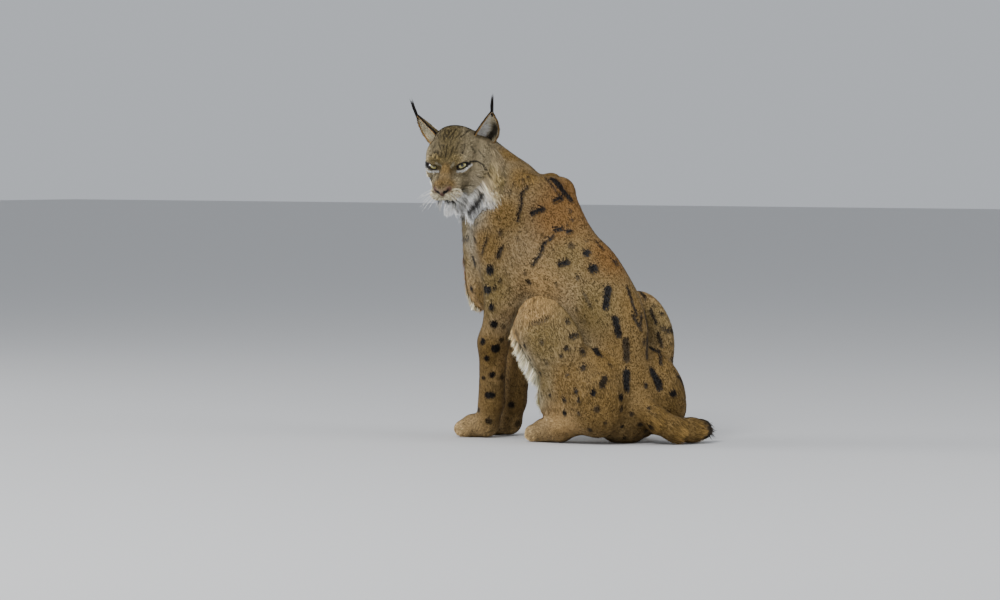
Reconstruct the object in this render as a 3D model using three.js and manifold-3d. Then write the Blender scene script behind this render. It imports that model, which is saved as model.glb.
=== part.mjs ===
// A Eurasian lynx, life size, sitting upright with its head turned over its left shoulder.
// Millimetres. +X is the animal's left, -Y the way it faces and +Z up. The origin is a point of the flat that
// the rump rests on.
//
// The whole body is one field: muscles are tapered limbs and egg-shaped masses that melt into each other. Each
// part is the surface of that field inside its own simple region, so that neighbours meet at thin cuts. Ears
// and eyes are shaped on their own and set on the head. The ruff, the beard, the tufts of the ears and the
// fringes on chest and thighs are locks with their roots sunk in their part; shorter fur is left out.
import * as THREE from "three";
import { mergeVertices } from "three/addons/utils/BufferGeometryUtils.js";
import Module from "manifold-3d";

const wasm = await Module();
wasm.setup();

// Driving dimensions, in millimetres and degrees.
const SEAM = 0.36; // the gap that two touching parts keep
const SLIVER = 0.12; // how far a surface may move where its thinnest faces are left out
const LOCK_SLIVER = 0.1; // and for a part with locks
const PELVIS_HEADING = -13; // positive turns a frame to the animal's left
const CHEST_HEADING = 5;
const HEAD_HEADING = 103;
const HEAD_PITCH = 29; // the muzzle points this far below the level of the palate
const CHEST_PLACE = [0, -358, 0]; // on the floor, midway between the two wrists
const EYES_PLACE = [93, -436, 610]; // midway between the two eyeballs
const EYE_RADIUS = 14.5;
const EYE_SPACING = 70;
const EYE_SPLAY = 20; // how far each eye looks outward
const SIDES = [
  ["left", 1],
  ["right", -1],
];

// Frames of reference: x to the left, y backward, z up, each turned by its heading and then pitched.
function frame([x, y, z], heading = 0, pitch = 0) {
  const turn = new THREE.Matrix4().makeRotationZ(THREE.MathUtils.degToRad(heading));
  const nod = new THREE.Matrix4().makeRotationX(THREE.MathUtils.degToRad(pitch));
  return new THREE.Matrix4().makeTranslation(x, y, z).multiply(turn).multiply(nod);
}
const world = frame([0, 0, 0]);
const pelvis = frame([0, 0, 0], PELVIS_HEADING);
const chest = frame(CHEST_PLACE, CHEST_HEADING);
const skull = frame(EYES_PLACE, HEAD_HEADING, HEAD_PITCH);
const neckBase = frame([0, -338, 520], 0, 34);
const waist = frame([0, -150, 330], -5, 38);

const at = (matrix, point) => new THREE.Vector3(...point).applyMatrix4(matrix);

// A tapered limb between two points, as the distance of a point from its surface.
function limb(matrix, from, to, fromRadius, toRadius) {
  const a = at(matrix, from);
  const axis = at(matrix, to).sub(a);
  const span = axis.lengthSq();
  const v = new THREE.Vector3();
  return (p) => {
    v.subVectors(p, a);
    const t = THREE.MathUtils.clamp(v.dot(axis) / span, 0, 1);
    return v.addScaledVector(axis, -t).length() - THREE.MathUtils.lerp(fromRadius, toRadius, t);
  };
}

// Where an egg-shaped or drum-shaped thing sits: leaned forward, then rolled to one side, then yawed.
function placed(matrix, centre, lean = 0, yaw = 0, roll = 0) {
  const turn = new THREE.Euler(...[lean, roll, yaw].map(THREE.MathUtils.degToRad), "ZYX");
  return matrix
    .clone()
    .multiply(new THREE.Matrix4().makeTranslation(...centre))
    .multiply(new THREE.Matrix4().makeRotationFromEuler(turn));
}

// An egg-shaped mass with its half-widths along x, y and z.
function mass(matrix, centre, radii, lean, yaw, roll) {
  const local = placed(matrix, centre, lean, yaw, roll).invert();
  const r = new THREE.Vector3(...radii);
  const v = new THREE.Vector3();
  return (p) => {
    v.copy(p).applyMatrix4(local).divide(r);
    const reach = v.length();
    return (reach * (reach - 1)) / Math.max(v.divide(r).length(), 1e-6);
  };
}

// Several muscles as one: softness is the width over which their surfaces melt together.
const melt = (softness, muscles) => (p) => {
  let sum = 0;
  for (const muscle of muscles) sum += Math.exp(-muscle(p) / softness);
  return -softness * Math.log(sum);
};

const torso = melt(12, [
  mass(pelvis, [0, -28, 110], [90, 82, 121], 8),
  mass(pelvis, [0, -82, 276], [80, 106, 154], 37),
  mass(world, [-8, -96, 382], [56, 56, 82], 38),
  mass(chest, [0, 144, 402], [76, 116, 160], 42),
  mass(chest, [0, 150, 500], [44, 60, 84], 30),
  mass(chest, [0, -10, 385], [58, 76, 120], 0),
  mass(chest, [0, -56, 372], [34, 36, 90], -6), // the core of the fringe on the chest
  mass(chest, [0, 50, 325], [52, 88, 66], 0),
]);
const neck = melt(10, [
  limb(world, [0, -285, 515], [8, -432, 610], 74, 62),
  limb(world, [-4, -330, 570], [0, -425, 640], 60, 46),
  limb(world, [-5, -425, 560], [0, -388, 430], 58, 66),
]);
const head = melt(4.5, [
  mass(skull, [0, 64, -2], [50, 62, 49]),
  limb(skull, [0, 6, 0], [0, -44, -26], 19, 13),
  limb(skull, [0, -26, -62], [0, 44, -54], 14, 36),
  mass(skull, [0, -53, -31], [15, 9, 9]),
  ...SIDES.flatMap(([, s]) => [
    mass(skull, [s * 24, 64, 7], [31, 50, 42]),
    mass(skull, [s * 46, 34, 3], [20, 34, 36]),
    mass(skull, [s * 30, -4, 12], [16, 12, 8]),
    mass(skull, [s * 37, 0, 0], [19, 17, 17]),
    mass(skull, [s * 36, 22, -50], [26, 34, 30]),
    mass(skull, [s * 14, -36, -43], [16, 20, 13]),
    mass(skull, [s * 23, -14, -34], [19, 27, 20]),
    mass(skull, [s * 42, 24, -20], [25, 36, 30]),
    mass(skull, [s * 48, 58, -50], [27, 32, 50], 0, 0, s * 10), // the core of the ruff
  ]),
]);
const foreleg = (s) =>
  melt(8, [
    limb(chest, [s * 47, 104, 573], [s * 58, 15, 468], 24, 46),
    mass(chest, [s * 50, 84, 512], [24, 48, 84], -42),
    limb(chest, [s * 58, 15, 465], [s * 59, 40, 300], 48, 38),
    mass(chest, [s * 58, 66, 385], [26, 46, 84], -12),
    limb(chest, [s * 59, 38, 292], [s * 55, 16, 215], 38, 32),
    limb(chest, [s * 55, 16, 215], [s * 46, 4, 78], 32, 28),
  ]);
const forepaw = (s) =>
  melt(4, [
    limb(chest, [s * 46, 4, 80], [s * 46, -8, 36], 27, 29),
    limb(chest, [s * 46, -10, 29], [s * 46, -46, 26], 29, 28),
    ...[-1.5, -0.5, 0.5, 1.5].map((toe) =>
      mass(chest, [s * 46 + toe * 15.5, -68 + Math.abs(toe) * 7, 20], [11.5, 24, 20], 0, toe * 6),
    ),
  ]);
const THIGH = { left: [126, -118, 224], right: [133, -112, 228] }; // the middle of each
const haunch = (s, [x, y, z]) =>
  melt(9, [
    mass(pelvis, [s * x, y, z], [46, 92, 122], 48, 0, s * 8),
    mass(pelvis, [s * 86, -32, 122], [52, 78, 92], 20),
    limb(pelvis, [s * 70, -30, 110], [s * (x + 20), y - 50, z + 28], 52, 36),
    limb(pelvis, [s * (x + 20), y - 50, z + 26], [s * 104, 18, 72], 36, 30),
    mass(pelvis, [s * 120, -86, 108], [36, 80, 78], 0),
  ]);
const hindpaw = (s) =>
  melt(4, [
    limb(pelvis, [s * 104, 16, 66], [s * 118, -96, 32], 31, 30),
    limb(pelvis, [s * 118, -96, 30], [s * 124, -146, 26], 30, 28),
    ...[-1.5, -0.5, 0.5, 1.5].map((toe) =>
      mass(pelvis, [s * 124 + toe * 15.5, -168 + Math.abs(toe) * 7, 20], [11.5, 24, 20], 0, toe * 6),
    ),
  ]);
const TAIL_PATH = [
  [0, 44, 80],
  [-12, 80, 50],
  [-42, 102, 29],
  [-88, 104, 24],
  [-132, 86, 23],
];
const tail = melt(
  6,
  TAIL_PATH.slice(1).map((to, i) => limb(pelvis, TAIL_PATH[i], to, 27 - i, 26 - i)),
);

const body = melt(5, [
  torso,
  neck,
  head,
  tail,
  ...SIDES.flatMap(([side, s]) => [foreleg(s), forepaw(s), haunch(s, THIGH[side]), hindpaw(s)]),
]);

// Grid lines along one axis, as runs of [from, to, step] that follow each other.
const lines = (...runs) =>
  runs.flatMap(([from, to, step], r) => {
    const count = Math.round((to - from) / step);
    const run = Array.from({ length: count + 1 }, (_, i) => from + ((to - from) * i) / count);
    return r ? run.slice(1) : run;
  });

// Fills the grid's square faces whose inside ends touch only across a diagonal, because a surface through one
// would meet itself along an edge.
const JUST_INSIDE = -0.01;
function fillCornerTouches(value, [nx, ny, nz]) {
  const step = [1, nx, nx * ny];
  let filled = true;
  while (filled) {
    filled = false;
    for (let here = 0; here < value.length - step[1] - step[2]; here++)
      for (let axis = 0; axis < 3; axis++) {
        const u = step[axis];
        const v = step[(axis + 1) % 3];
        const ends = [here, here + u, here + u + v, here + v];
        const [a, b, c, d] = ends.map((n) => value[n] < 0);
        if (a !== c || b !== d || a === b) continue;
        for (const n of ends) value[n] = Math.min(value[n], JUST_INSIDE);
        filled = true;
      }
  }
}

// A closed surface where the field is zero, by surface nets: one corner for each cell of the grid that the
// surface passes through, moved onto the surface itself. Grid lines run along the axes of the given frame.
// Faces that are flat to within the given flatness are then joined.
function netSurface(field, matrix, grid, flatness) {
  const [nx, ny, nz] = grid.map((axis) => axis.length);
  const index = (i, j, k) => (k * ny + j) * nx + i;
  const value = new Float64Array(nx * ny * nz);
  for (let k = 0; k < nz; k++)
    for (let j = 0; j < ny; j++)
      for (let i = 0; i < nx; i++) {
        const rim = i === 0 || j === 0 || k === 0 || i === nx - 1 || j === ny - 1 || k === nz - 1;
        const here = at(matrix, [grid[0][i], grid[1][j], grid[2][k]]);
        value[index(i, j, k)] = rim ? 10 : field(here);
      }
  fillCornerTouches(value, [nx, ny, nz]);
  const corners = [];
  const cornerOf = new Int32Array(value.length).fill(-1);
  for (let k = 0; k < nz - 1; k++)
    for (let j = 0; j < ny - 1; j++)
      for (let i = 0; i < nx - 1; i++) {
        const sum = new THREE.Vector3();
        let crossings = 0;
        for (let axis = 0; axis < 3; axis++)
          for (let edge = 0; edge < 4; edge++) {
            const a = [i, j, k];
            a[(axis + 1) % 3] += edge & 1;
            a[(axis + 2) % 3] += edge >> 1;
            const b = [...a];
            b[axis] += 1;
            const va = value[index(...a)];
            const vb = value[index(...b)];
            if (va < 0 === vb < 0) continue;
            const from = a.map((n, i) => grid[i][n]);
            from[axis] += ((grid[axis][b[axis]] - from[axis]) * va) / (va - vb);
            sum.add(new THREE.Vector3(...from));
            crossings++;
          }
        if (!crossings) continue;
        cornerOf[index(i, j, k)] = corners.length / 3;
        const cell = Math.min(...[i, j, k].map((n, i) => grid[i][n + 1] - grid[i][n]));
        const corner = sum.divideScalar(crossings).applyMatrix4(matrix);
        corners.push(...settled(field, corner, cell / 2).toArray());
      }
  const faces = [];
  const step = [1, nx, nx * ny];
  for (let k = 0; k < nz - 1; k++)
    for (let j = 0; j < ny - 1; j++)
      for (let i = 0; i < nx - 1; i++)
        for (let axis = 0; axis < 3; axis++) {
          const here = index(i, j, k);
          const inside = value[here] < 0;
          if (inside === value[here + step[axis]] < 0) continue;
          const u = step[(axis + 1) % 3];
          const v = step[(axis + 2) % 3];
          const [a, b, c, d] = [here, here - u, here - u - v, here - v].map((n) => cornerOf[n]);
          if (inside) faces.push(a, b, c, a, c, d);
          else faces.push(a, c, b, a, d, c);
        }
  return solid(corners, faces).simplify(flatness);
}

// The field's slope at a point, by small steps along each axis.
const NUDGE = 0.5;
function slopeOf(field, point) {
  const here = field(point);
  const slope = ["x", "y", "z"].map((axis) => {
    const beside = point.clone();
    beside[axis] += NUDGE;
    return (field(beside) - here) / NUDGE;
  });
  return new THREE.Vector3(...slope);
}

// The point moved onto the field's surface along its slope, by no more than the given reach.
function settled(field, start, reach) {
  const point = start.clone();
  for (let round = 0; round < 3; round++) {
    const slope = slopeOf(field, point);
    if (slope.lengthSq() < 0.01) return start;
    point.addScaledVector(slope, -field(point) / slope.lengthSq());
  }
  const moved = point.distanceTo(start);
  return moved > reach ? start.clone().lerp(point, reach / moved) : point;
}

// Corners and faces as a manifold-3d solid, and a three.js geometry as one.
const solid = (corners, faces) =>
  new wasm.Manifold(
    new wasm.Mesh({
      numProp: 3,
      vertProperties: new Float32Array(corners),
      triVerts: new Uint32Array(faces),
    }),
  );
function solidOf(geometry) {
  const bare = geometry.clone();
  bare.deleteAttribute("normal");
  bare.deleteAttribute("uv");
  const merged = mergeVertices(bare, 1e-3);
  return solid(merged.attributes.position.array, merged.index.array);
}
const largest = (body) => body.decompose().reduce((a, b) => (b.volume() > a.volume() ? b : a));
function geometryOf(body) {
  const mesh = body.getMesh();
  const geometry = new THREE.BufferGeometry();
  geometry.setAttribute("position", new THREE.BufferAttribute(mesh.vertProperties, 3));
  geometry.setIndex(new THREE.BufferAttribute(mesh.triVerts, 1));
  geometry.computeVertexNormals();
  return geometry;
}

// The same solid grown outward, for cutting a neighbour back from it.
function grown(body, by = SEAM) {
  const geometry = geometryOf(body);
  const place = geometry.attributes.position;
  const normal = geometry.attributes.normal;
  const moved = new THREE.Vector3();
  const out = new THREE.Vector3();
  for (let i = 0; i < place.count; i++) {
    moved.fromBufferAttribute(place, i).addScaledVector(out.fromBufferAttribute(normal, i), by);
    place.setXYZ(i, moved.x, moved.y, moved.z);
  }
  return solid(place.array, geometry.index.array);
}

// Regions, each as a function of how far it is grown beyond its size: a block, and a drum whose round face
// looks sideways.
const block = (matrix, low, high) => (by) => {
  const size = low.map((n, i) => high[i] - n + 2 * by);
  const middle = low.map((n, i) => (n + high[i]) / 2);
  return solidOf(new THREE.BoxGeometry(...size).applyMatrix4(placed(matrix, middle)));
};
const DRUM_SIDES = 28;
const drum = (matrix, [y, z], [ry, rz], inner, outer, lean) => (by) => {
  const width = Math.abs(outer - inner) + 2 * by;
  const round = new THREE.CylinderGeometry(1, 1, width, DRUM_SIDES).rotateZ(Math.PI / 2);
  round.scale(1, ry + by, rz + by).applyMatrix4(placed(matrix, [(inner + outer) / 2, y, z], lean));
  return solidOf(round);
};
const ball = (matrix, centre, radii, wide = 12, high = 8) => {
  const round = new THREE.SphereGeometry(1, wide, high).scale(...radii);
  return solidOf(round.applyMatrix4(placed(matrix, centre)));
};
const globe = (matrix, centre, radii) => (by) => {
  const grownRadii = radii.map((r) => r + by);
  return ball(matrix, centre, grownRadii, 28, 18);
};

const FLOOR_SIZE = 3000;
const floor = solidOf(
  new THREE.BoxGeometry(FLOOR_SIZE, FLOOR_SIZE, FLOOR_SIZE).translate(0, 0, -FLOOR_SIZE / 2),
);

// The body's parts: each has a region, the frame of its grid and the grid's lines along x, y and z. A part
// takes what the ones before it leave, and the last one has no region of its own.
const mirrored = (s, axis) => (s > 0 ? axis : axis.map((n) => -n).reverse());
const sideBlock = (matrix, s, [x, y, z], [farX, farY, farZ]) =>
  block(matrix, [Math.min(s * x, s * farX), y, z], [Math.max(s * x, s * farX), farY, farZ]);
const parts = [
  {
    name: "head",
    flatness: 1,
    region: globe(skull, [0, 38, -22], [104, 118, 96]),
    matrix: skull,
    grid: [
      lines([-122, -42, 16], [-42, 42, 7], [42, 122, 16]),
      lines([-81, 3, 7], [3, 138, 15]),
      lines([-134, -82, 13], [-82, 23, 7], [23, 73, 13]),
    ],
  },
  ...SIDES.flatMap(([side, s]) => [
    {
      name: `forepaw_${side}`,
      flatness: 1.2,
      region: sideBlock(chest, s, [0, -130, -30], [110, 60, 66]),
      matrix: chest,
      grid: [
        mirrored(s, lines([-4, 96, 10])),
        lines([-112, -40, 9], [-40, 68, 22]),
        lines([-12, 48, 12], [48, 84, 18]),
      ],
    },
    {
      name: `forearm_${side}`,
      region: sideBlock(chest, s, [12, -60, 66], [140, 110, 272]),
      matrix: chest,
      grid: [mirrored(s, lines([-10, 150, 16])), lines([-70, 120, 17]), lines([38, 308, 30])],
    },
    {
      name: `shoulder_${side}`,
      region: drum(chest, [62, 448], [92, 176], s * 34, s * 170, -10),
      matrix: chest,
      grid: [mirrored(s, lines([10, 150, 24])), lines([-80, 200, 24]), lines([232, 660, 27])],
    },
    {
      name: `hindpaw_${side}`,
      flatness: 1.2,
      region: sideBlock(pelvis, s, [66, -240, -30], [240, 62, 60]),
      matrix: pelvis,
      grid: [
        mirrored(s, lines([54, 190, 11])),
        lines([-212, -136, 9], [-136, 80, 24]),
        lines([-12, 48, 12], [48, 84, 18]),
      ],
    },
    {
      name: `thigh_${side}`,
      region: drum(pelvis, [-98, 232], [152, 132], s * 66, s * 240, 30),
      matrix: pelvis,
      grid: [mirrored(s, lines([44, 220, 24])), lines([-260, 80, 25]), lines([80, 390, 25])],
    },
    {
      name: `shank_${side}`,
      region: sideBlock(pelvis, s, [64, -260, 60], [240, 62, 205]),
      matrix: pelvis,
      grid: [mirrored(s, lines([44, 220, 22])), lines([-270, 90, 24]), lines([36, 270, 23])],
    },
  ]),
  {
    name: "tail",
    region: block(pelvis, [-230, 62, -30], [80, 200, 130]),
    matrix: pelvis,
    grid: [lines([-184, 56, 16]), lines([38, 152, 16]), lines([-12, 132, 16])],
  },
  {
    name: "neck",
    region: block(neckBase, [-250, -280, 0], [250, 280, 330]),
    matrix: neckBase,
    grid: [lines([-130, 170, 23]), lines([-190, 170, 23]), lines([-30, 210, 23])],
  },
  {
    name: "torso_front",
    region: block(waist, [-250, -400, 0], [250, 400, 500]),
    matrix: chest,
    grid: [lines([-130, 130, 25]), lines([-130, 400, 26]), lines([190, 660, 27])],
  },
  {
    name: "torso_rear",
    matrix: pelvis,
    grid: [lines([-150, 150, 25]), lines([-260, 110, 26]), lines([-14, 440, 27])],
  },
];

const bodies = {};
const surfaces = {};
parts.forEach(({ name, region, matrix, grid, flatness = 2.6 }, i) => {
  surfaces[name] = netSurface(body, matrix, grid, flatness);
  let part = surfaces[name].subtract(floor);
  if (region) part = part.intersect(region(-SEAM / 2));
  for (const earlier of parts.slice(0, i)) part = part.subtract(earlier.region(SEAM / 2));
  bodies[name] = largest(part);
});

// The eyes, and what the head is cut back by for them: a socket, and the opening between the lids.
for (const [side, s] of SIDES) {
  const eye = skull.clone().multiply(frame([(s * EYE_SPACING) / 2, 0, 0], s * EYE_SPLAY));
  const socket = Array(3).fill(EYE_RADIUS + SEAM);
  const opening = placed(eye, [s * 3, -17, -1], 0, 0, -s * 17);
  bodies.head = bodies.head
    .subtract(ball(eye, [0, 0, 0], socket))
    .subtract(ball(opening, [0, 0, 0], [22, 15.5, 6.4]));
  bodies[`eye_${side}`] = ball(eye, [0, 0, 0], Array(3).fill(EYE_RADIUS));
}

// The nostrils, the groove below the nose and the line of the mouth, as thin tubes along the face.
const GROOVE_SIDES = 6;
function groove(points, radius) {
  const path = new THREE.CatmullRomCurve3(points.map((p) => settled(body, at(skull, p), 12)));
  const section = new THREE.Shape();
  for (let i = 0; i < GROOVE_SIDES; i++) {
    const turn = (2 * Math.PI * i) / GROOVE_SIDES;
    section[i ? "lineTo" : "moveTo"](radius * Math.cos(turn), radius * Math.sin(turn));
  }
  const settings = { extrudePath: path, steps: 5 * (points.length - 1), bevelEnabled: false };
  return solidOf(new THREE.ExtrudeGeometry(section, settings));
}
const MOUTH = [
  [0, -56, -54],
  [9, -54, -58],
  [19, -44, -59],
  [26, -30, -56],
  [31, -16, -54],
];
const mouth = [...MOUTH.slice(1).reverse().map(([x, y, z]) => [-x, y, z]), ...MOUTH];
const PHILTRUM = [
  [0, -64, -42],
  [0, -60, -48],
  [0, -56, -54],
];
bodies.head = bodies.head.subtract(groove(mouth, 2)).subtract(groove(PHILTRUM, 1.6));
for (const [, s] of SIDES)
  bodies.head = bodies.head.subtract(ball(skull, [s * 7, -62, -36], [4, 5, 2.8], 10, 8));
bodies.head = largest(bodies.head);

// An ear: a cup that narrows to its tip, with a crescent for its section.
const EAR_STEPS = 9;
const EAR_ARC = 7;
const EAR_BASE = [61, 82, 8];
const EAR_TIP = { left: [94, 80, 91], right: [94, 80, 83] };
const EAR_FACING = [0.89, 0.45, 0]; // across the cup, from its inner edge to its outer one
function ear(s, earTip) {
  const base = new THREE.Vector3(...EAR_BASE);
  const tip = new THREE.Vector3(...earTip);
  const up = tip.clone().sub(base).normalize();
  const across = new THREE.Vector3(...EAR_FACING);
  across.addScaledVector(up, -up.dot(across)).normalize();
  const back = new THREE.Vector3().crossVectors(up, across);
  const corners = [];
  const faces = [];
  const ring = 2 * (EAR_ARC + 1);
  for (let i = 0; i <= EAR_STEPS; i++) {
    const rise = i / EAR_STEPS;
    const width = 33 * (1 - rise) ** 0.85 + 2;
    const depth = 26 * (1 - rise) ** 0.9 + 2.5;
    const bulge = 9 * Math.sin(Math.PI * rise ** 0.8); // the outer edge is the rounder one
    const drop = 30 * (1 - rise) ** 3; // and reaches lower down the side of the head
    const wall = 3.4 - 1.8 * rise;
    for (let j = 0; j < ring; j++) {
      const inner = j > EAR_ARC;
      const turn = (Math.PI * (inner ? ring - 1 - j : j)) / EAR_ARC;
      const point = base
        .clone()
        .lerp(tip, rise)
        .addScaledVector(across, (width - (inner ? wall : 0)) * Math.cos(turn))
        .addScaledVector(across, (bulge - drop / 3) * Math.max(Math.cos(turn), 0))
        .addScaledVector(up, -drop * Math.max(Math.cos(turn), 0))
        .addScaledVector(back, (depth - (inner ? wall : 0)) * Math.sin(turn));
      point.x *= s;
      corners.push(...point.applyMatrix4(skull).toArray());
    }
  }
  for (let i = 0; i < EAR_STEPS; i++)
    for (let j = 0; j < ring; j++) {
      const a = i * ring + j;
      const b = i * ring + ((j + 1) % ring);
      faces.push([a, b, b + ring], [a, b + ring, a + ring]);
    }
  for (const row of [0, EAR_STEPS])
    for (let j = 0; j < EAR_ARC; j++) {
      const [a, b, c, d] = [j, j + 1, ring - 2 - j, ring - 1 - j].map((n) => row * ring + n);
      faces.push(...(row ? [[a, b, c], [a, c, d]] : [[a, c, b], [a, d, c]]));
    }
  const turned = s > 0 ? faces : faces.map(([a, b, c]) => [a, c, b]);
  return solid(corners, turned.flat());
}
for (const [side, s] of SIDES)
  bodies[`ear_${side}`] = largest(ear(s, EAR_TIP[side]).subtract(grown(surfaces.head)));

// Locks of long hair: flat strips that taper to a point, with their roots sunk in the body. Each follows its
// lie, falls a little more with every step and keeps clear of whatever of the body lies below it.
const LOCK_STEPS = 4;
const LOCK_TAPER = [0.8, 1, 0.86, 0.52];
const LOCK_THICKNESS = 0.3; // of its width
const ROOT_DEPTH = 12;
const FALL = new THREE.Vector3(0, 0, -1);

// Numbers that look random and are the same in every build.
function dice(seed) {
  let state = seed;
  return (from, to) => {
    state = (state * 1664525 + 1013904223) % 2 ** 32;
    return from + ((to - from) * state) / 2 ** 32;
  };
}
const roll = dice(17);

// One lock, of diamond-shaped sections: out points away from the body at its root, rise is how far its tip
// stands off the body, droop how fast it falls, and sink how deep its root goes.
function lock({ root, out, lie, length, width, rise, droop, sink = ROOT_DEPTH }) {
  const way = lie.clone().normalize();
  const point = root.clone().addScaledVector(out, rise / 3);
  const slope = out.clone();
  const corners = [];
  const ring = (middle, across, up, half) => {
    const thick = half * LOCK_THICKNESS;
    for (const [a, b] of [[half, 0], [0, thick], [-half, 0], [0, -thick]])
      corners.push(...middle.clone().addScaledVector(across, a).addScaledVector(up, b).toArray());
  };
  const twist = roll(-0.25, 0.25);
  const halfWidth = width / 2;
  const sidewaysOf = (up) =>
    new THREE.Vector3().crossVectors(up, way).applyAxisAngle(way, twist).normalize();
  const rootPoint = root.clone().addScaledVector(out, -sink).addScaledVector(way, -sink / 3);
  ring(rootPoint, sidewaysOf(out), out, halfWidth * LOCK_TAPER[0]);
  for (let step = 1; step <= LOCK_STEPS; step++) {
    way.addScaledVector(FALL, droop).normalize();
    point.addScaledVector(way, length / LOCK_STEPS);
    const height = body(point);
    const wanted = rise * Math.min(1, (step + 1) / LOCK_STEPS);
    if (sink) slope.copy(slopeOf(body, point)).normalize();
    if (sink && height < wanted) point.addScaledVector(slope, wanted - height);
    if (step === LOCK_STEPS) corners.push(...point.toArray());
    else ring(point, sidewaysOf(slope), slope, halfWidth * LOCK_TAPER[step]);
  }
  const faces = [[0, 3, 2], [0, 2, 1]];
  for (let step = 0; step < LOCK_STEPS; step++)
    for (let j = 0; j < 4; j++) {
      const [a, b] = [step * 4 + j, step * 4 + ((j + 1) % 4)];
      if (step === LOCK_STEPS - 1) faces.push([a, b, 4 * LOCK_STEPS]);
      else faces.push([a, b, b + 4], [a, b + 4, a + 4]);
    }
  return solid(corners, faces.flat());
}

// Where a straight line from outside the body first meets it.
function meeting(outside, inside) {
  const way = inside.clone().sub(outside).normalize();
  const point = outside.clone();
  for (let step = 0; step < 200 && body(point) > 0.2; step++)
    point.addScaledVector(way, Math.max(body(point) * 0.7, 0.3));
  return point;
}

// A row of locks: its roots lie where lines between two curves meet the body, and its lie changes along it.
const along = (points, t) =>
  new THREE.CatmullRomCurve3(points.map((point) => new THREE.Vector3(...point))).getPoint(t);
function lockRow({ matrix, s = 1, count, outside, inside, lies, length, width, rise = 7, droop = 0.12 }) {
  const mirror = new THREE.Vector3(s, 1, 1);
  const turn = new THREE.Matrix4().extractRotation(matrix);
  return Array.from({ length: count }, (_, i) => {
    const t = THREE.MathUtils.clamp((i + 0.5 + roll(-0.25, 0.25)) / count, 0, 1);
    const from = along(outside, t).multiply(mirror).applyMatrix4(matrix);
    const to = along(inside, t).multiply(mirror).applyMatrix4(matrix);
    const lie = along(lies, t).multiply(mirror).applyMatrix4(turn).normalize();
    lie.x += roll(-0.12, 0.12);
    lie.y += roll(-0.12, 0.12);
    lie.z += roll(-0.12, 0.12);
    const size = along(length.map((l, n) => [l, width[n], 0]), t);
    const root = meeting(from, to);
    const out = slopeOf(body, root).normalize();
    const scale = roll(0.85, 1.15);
    return lock({ root, out, lie, length: size.x * scale, width: size.y, rise: rise * scale, droop });
  });
}

// The ruff: two tiers down each side of the head from behind the cheek to under the jaw, and the beard.
const ruff = SIDES.flatMap(([, s]) => [
  ...lockRow({
    matrix: skull, s, count: 8,
    outside: [[150, -170, 40], [165, -170, -40], [140, -150, -130], [80, -120, -220], [34, -100, -230]],
    inside: [[46, 90, 4], [56, 80, -36], [52, 64, -56], [40, 54, -70], [20, 50, -74]],
    lies: [[0.6, 0.8, -0.1], [0.65, 0.7, -0.45], [0.5, 0.5, -0.75], [0.25, 0.3, -0.95], [0.05, 0.2, -1]],
    length: [44, 56, 76, 72, 60], width: [28, 34, 36, 32, 26], rise: 13,
  }),
  ...lockRow({
    matrix: skull, s, count: 7,
    outside: [[120, -180, 30], [135, -180, -40], [110, -160, -120], [60, -140, -200], [24, -120, -200]],
    inside: [[46, 50, 4], [50, 46, -34], [44, 34, -50], [30, 12, -56], [14, 0, -58]],
    lies: [[0.4, 0.9, -0.2], [0.4, 0.8, -0.45], [0.35, 0.5, -0.8], [0.2, 0.25, -0.95], [0.05, 0.1, -1]],
    length: [40, 50, 60, 52, 44], width: [26, 32, 32, 28, 22], rise: 10,
  }),
]);
const beard = lockRow({
  matrix: skull, count: 5, rise: 3,
  outside: [[-30, -34, -200], [0, -40, -200], [30, -34, -200]],
  inside: [[-16, -34, -50], [0, -38, -50], [16, -34, -50]],
  lies: [[-0.3, 0.05, -1], [0, 0, -1], [0.3, 0.05, -1]],
  length: [34, 38, 34], width: [15, 16, 15],
});

// The fringe on the chest: rows one above the other down its front.
const CHEST_ROWS = [[505, 24], [458, 40], [414, 46], [372, 42], [336, 30]];
const chestFringe = CHEST_ROWS.flatMap(([height, half]) =>
  lockRow({
    matrix: chest, count: Math.round(half / 10), rise: 3, droop: 0.06,
    outside: [[-half * 1.8, -260, height], [0, -300, height], [half * 1.8, -260, height]],
    inside: [[-half, 0, height], [0, 0, height], [half, 0, height]],
    lies: [[-0.1, -0.14, -1], [0, -0.16, -1], [0.1, -0.14, -1]],
    length: [46, 52, 46], width: [25, 28, 25],
  }),
);

// The long hair down the front of each thigh.
const thighFringe = (s) =>
  lockRow({
    matrix: pelvis, s, count: 6, rise: 4,
    outside: [[186, -300, 214], [186, -300, 180], [180, -300, 140], [170, -300, 100]],
    inside: [[112, -120, 214], [110, -120, 180], [106, -110, 140], [100, -80, 100]],
    lies: [[-0.2, -0.45, -0.9], [-0.2, -0.4, -0.9], [-0.1, -0.3, -1], [-0.05, -0.2, -1]],
    length: [34, 46, 52, 46], width: [22, 26, 26, 24],
  });

// The black tuft of each ear, whose locks start inside its tip.
const TUFT_LOCKS = [
  [38, 0.14, 0.1],
  [46, 0.2, 0.2],
  [34, 0.3, 0.28],
];
const earTuft = (s, [x, y, z]) =>
  TUFT_LOCKS.map(([length, sideways, backward], n) => {
    const turn = new THREE.Matrix4().extractRotation(skull);
    const lie = new THREE.Vector3(s * sideways, backward, 1).applyMatrix4(turn);
    const out = new THREE.Vector3(s * -0.3, -1, 0).applyMatrix4(turn);
    const root = at(skull, [s * (x - 1.5 + n), y - 1 + n, z - 10]);
    return lock({ root, out, lie, length: length + 10, width: 8, rise: 0, droop: 0, sink: 0 });
  });
for (const [side, s] of SIDES) {
  const tuft = wasm.Manifold.union(earTuft(s, EAR_TIP[side]));
  bodies[`ear_${side}`] = largest(bodies[`ear_${side}`].add(tuft));
}

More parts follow.
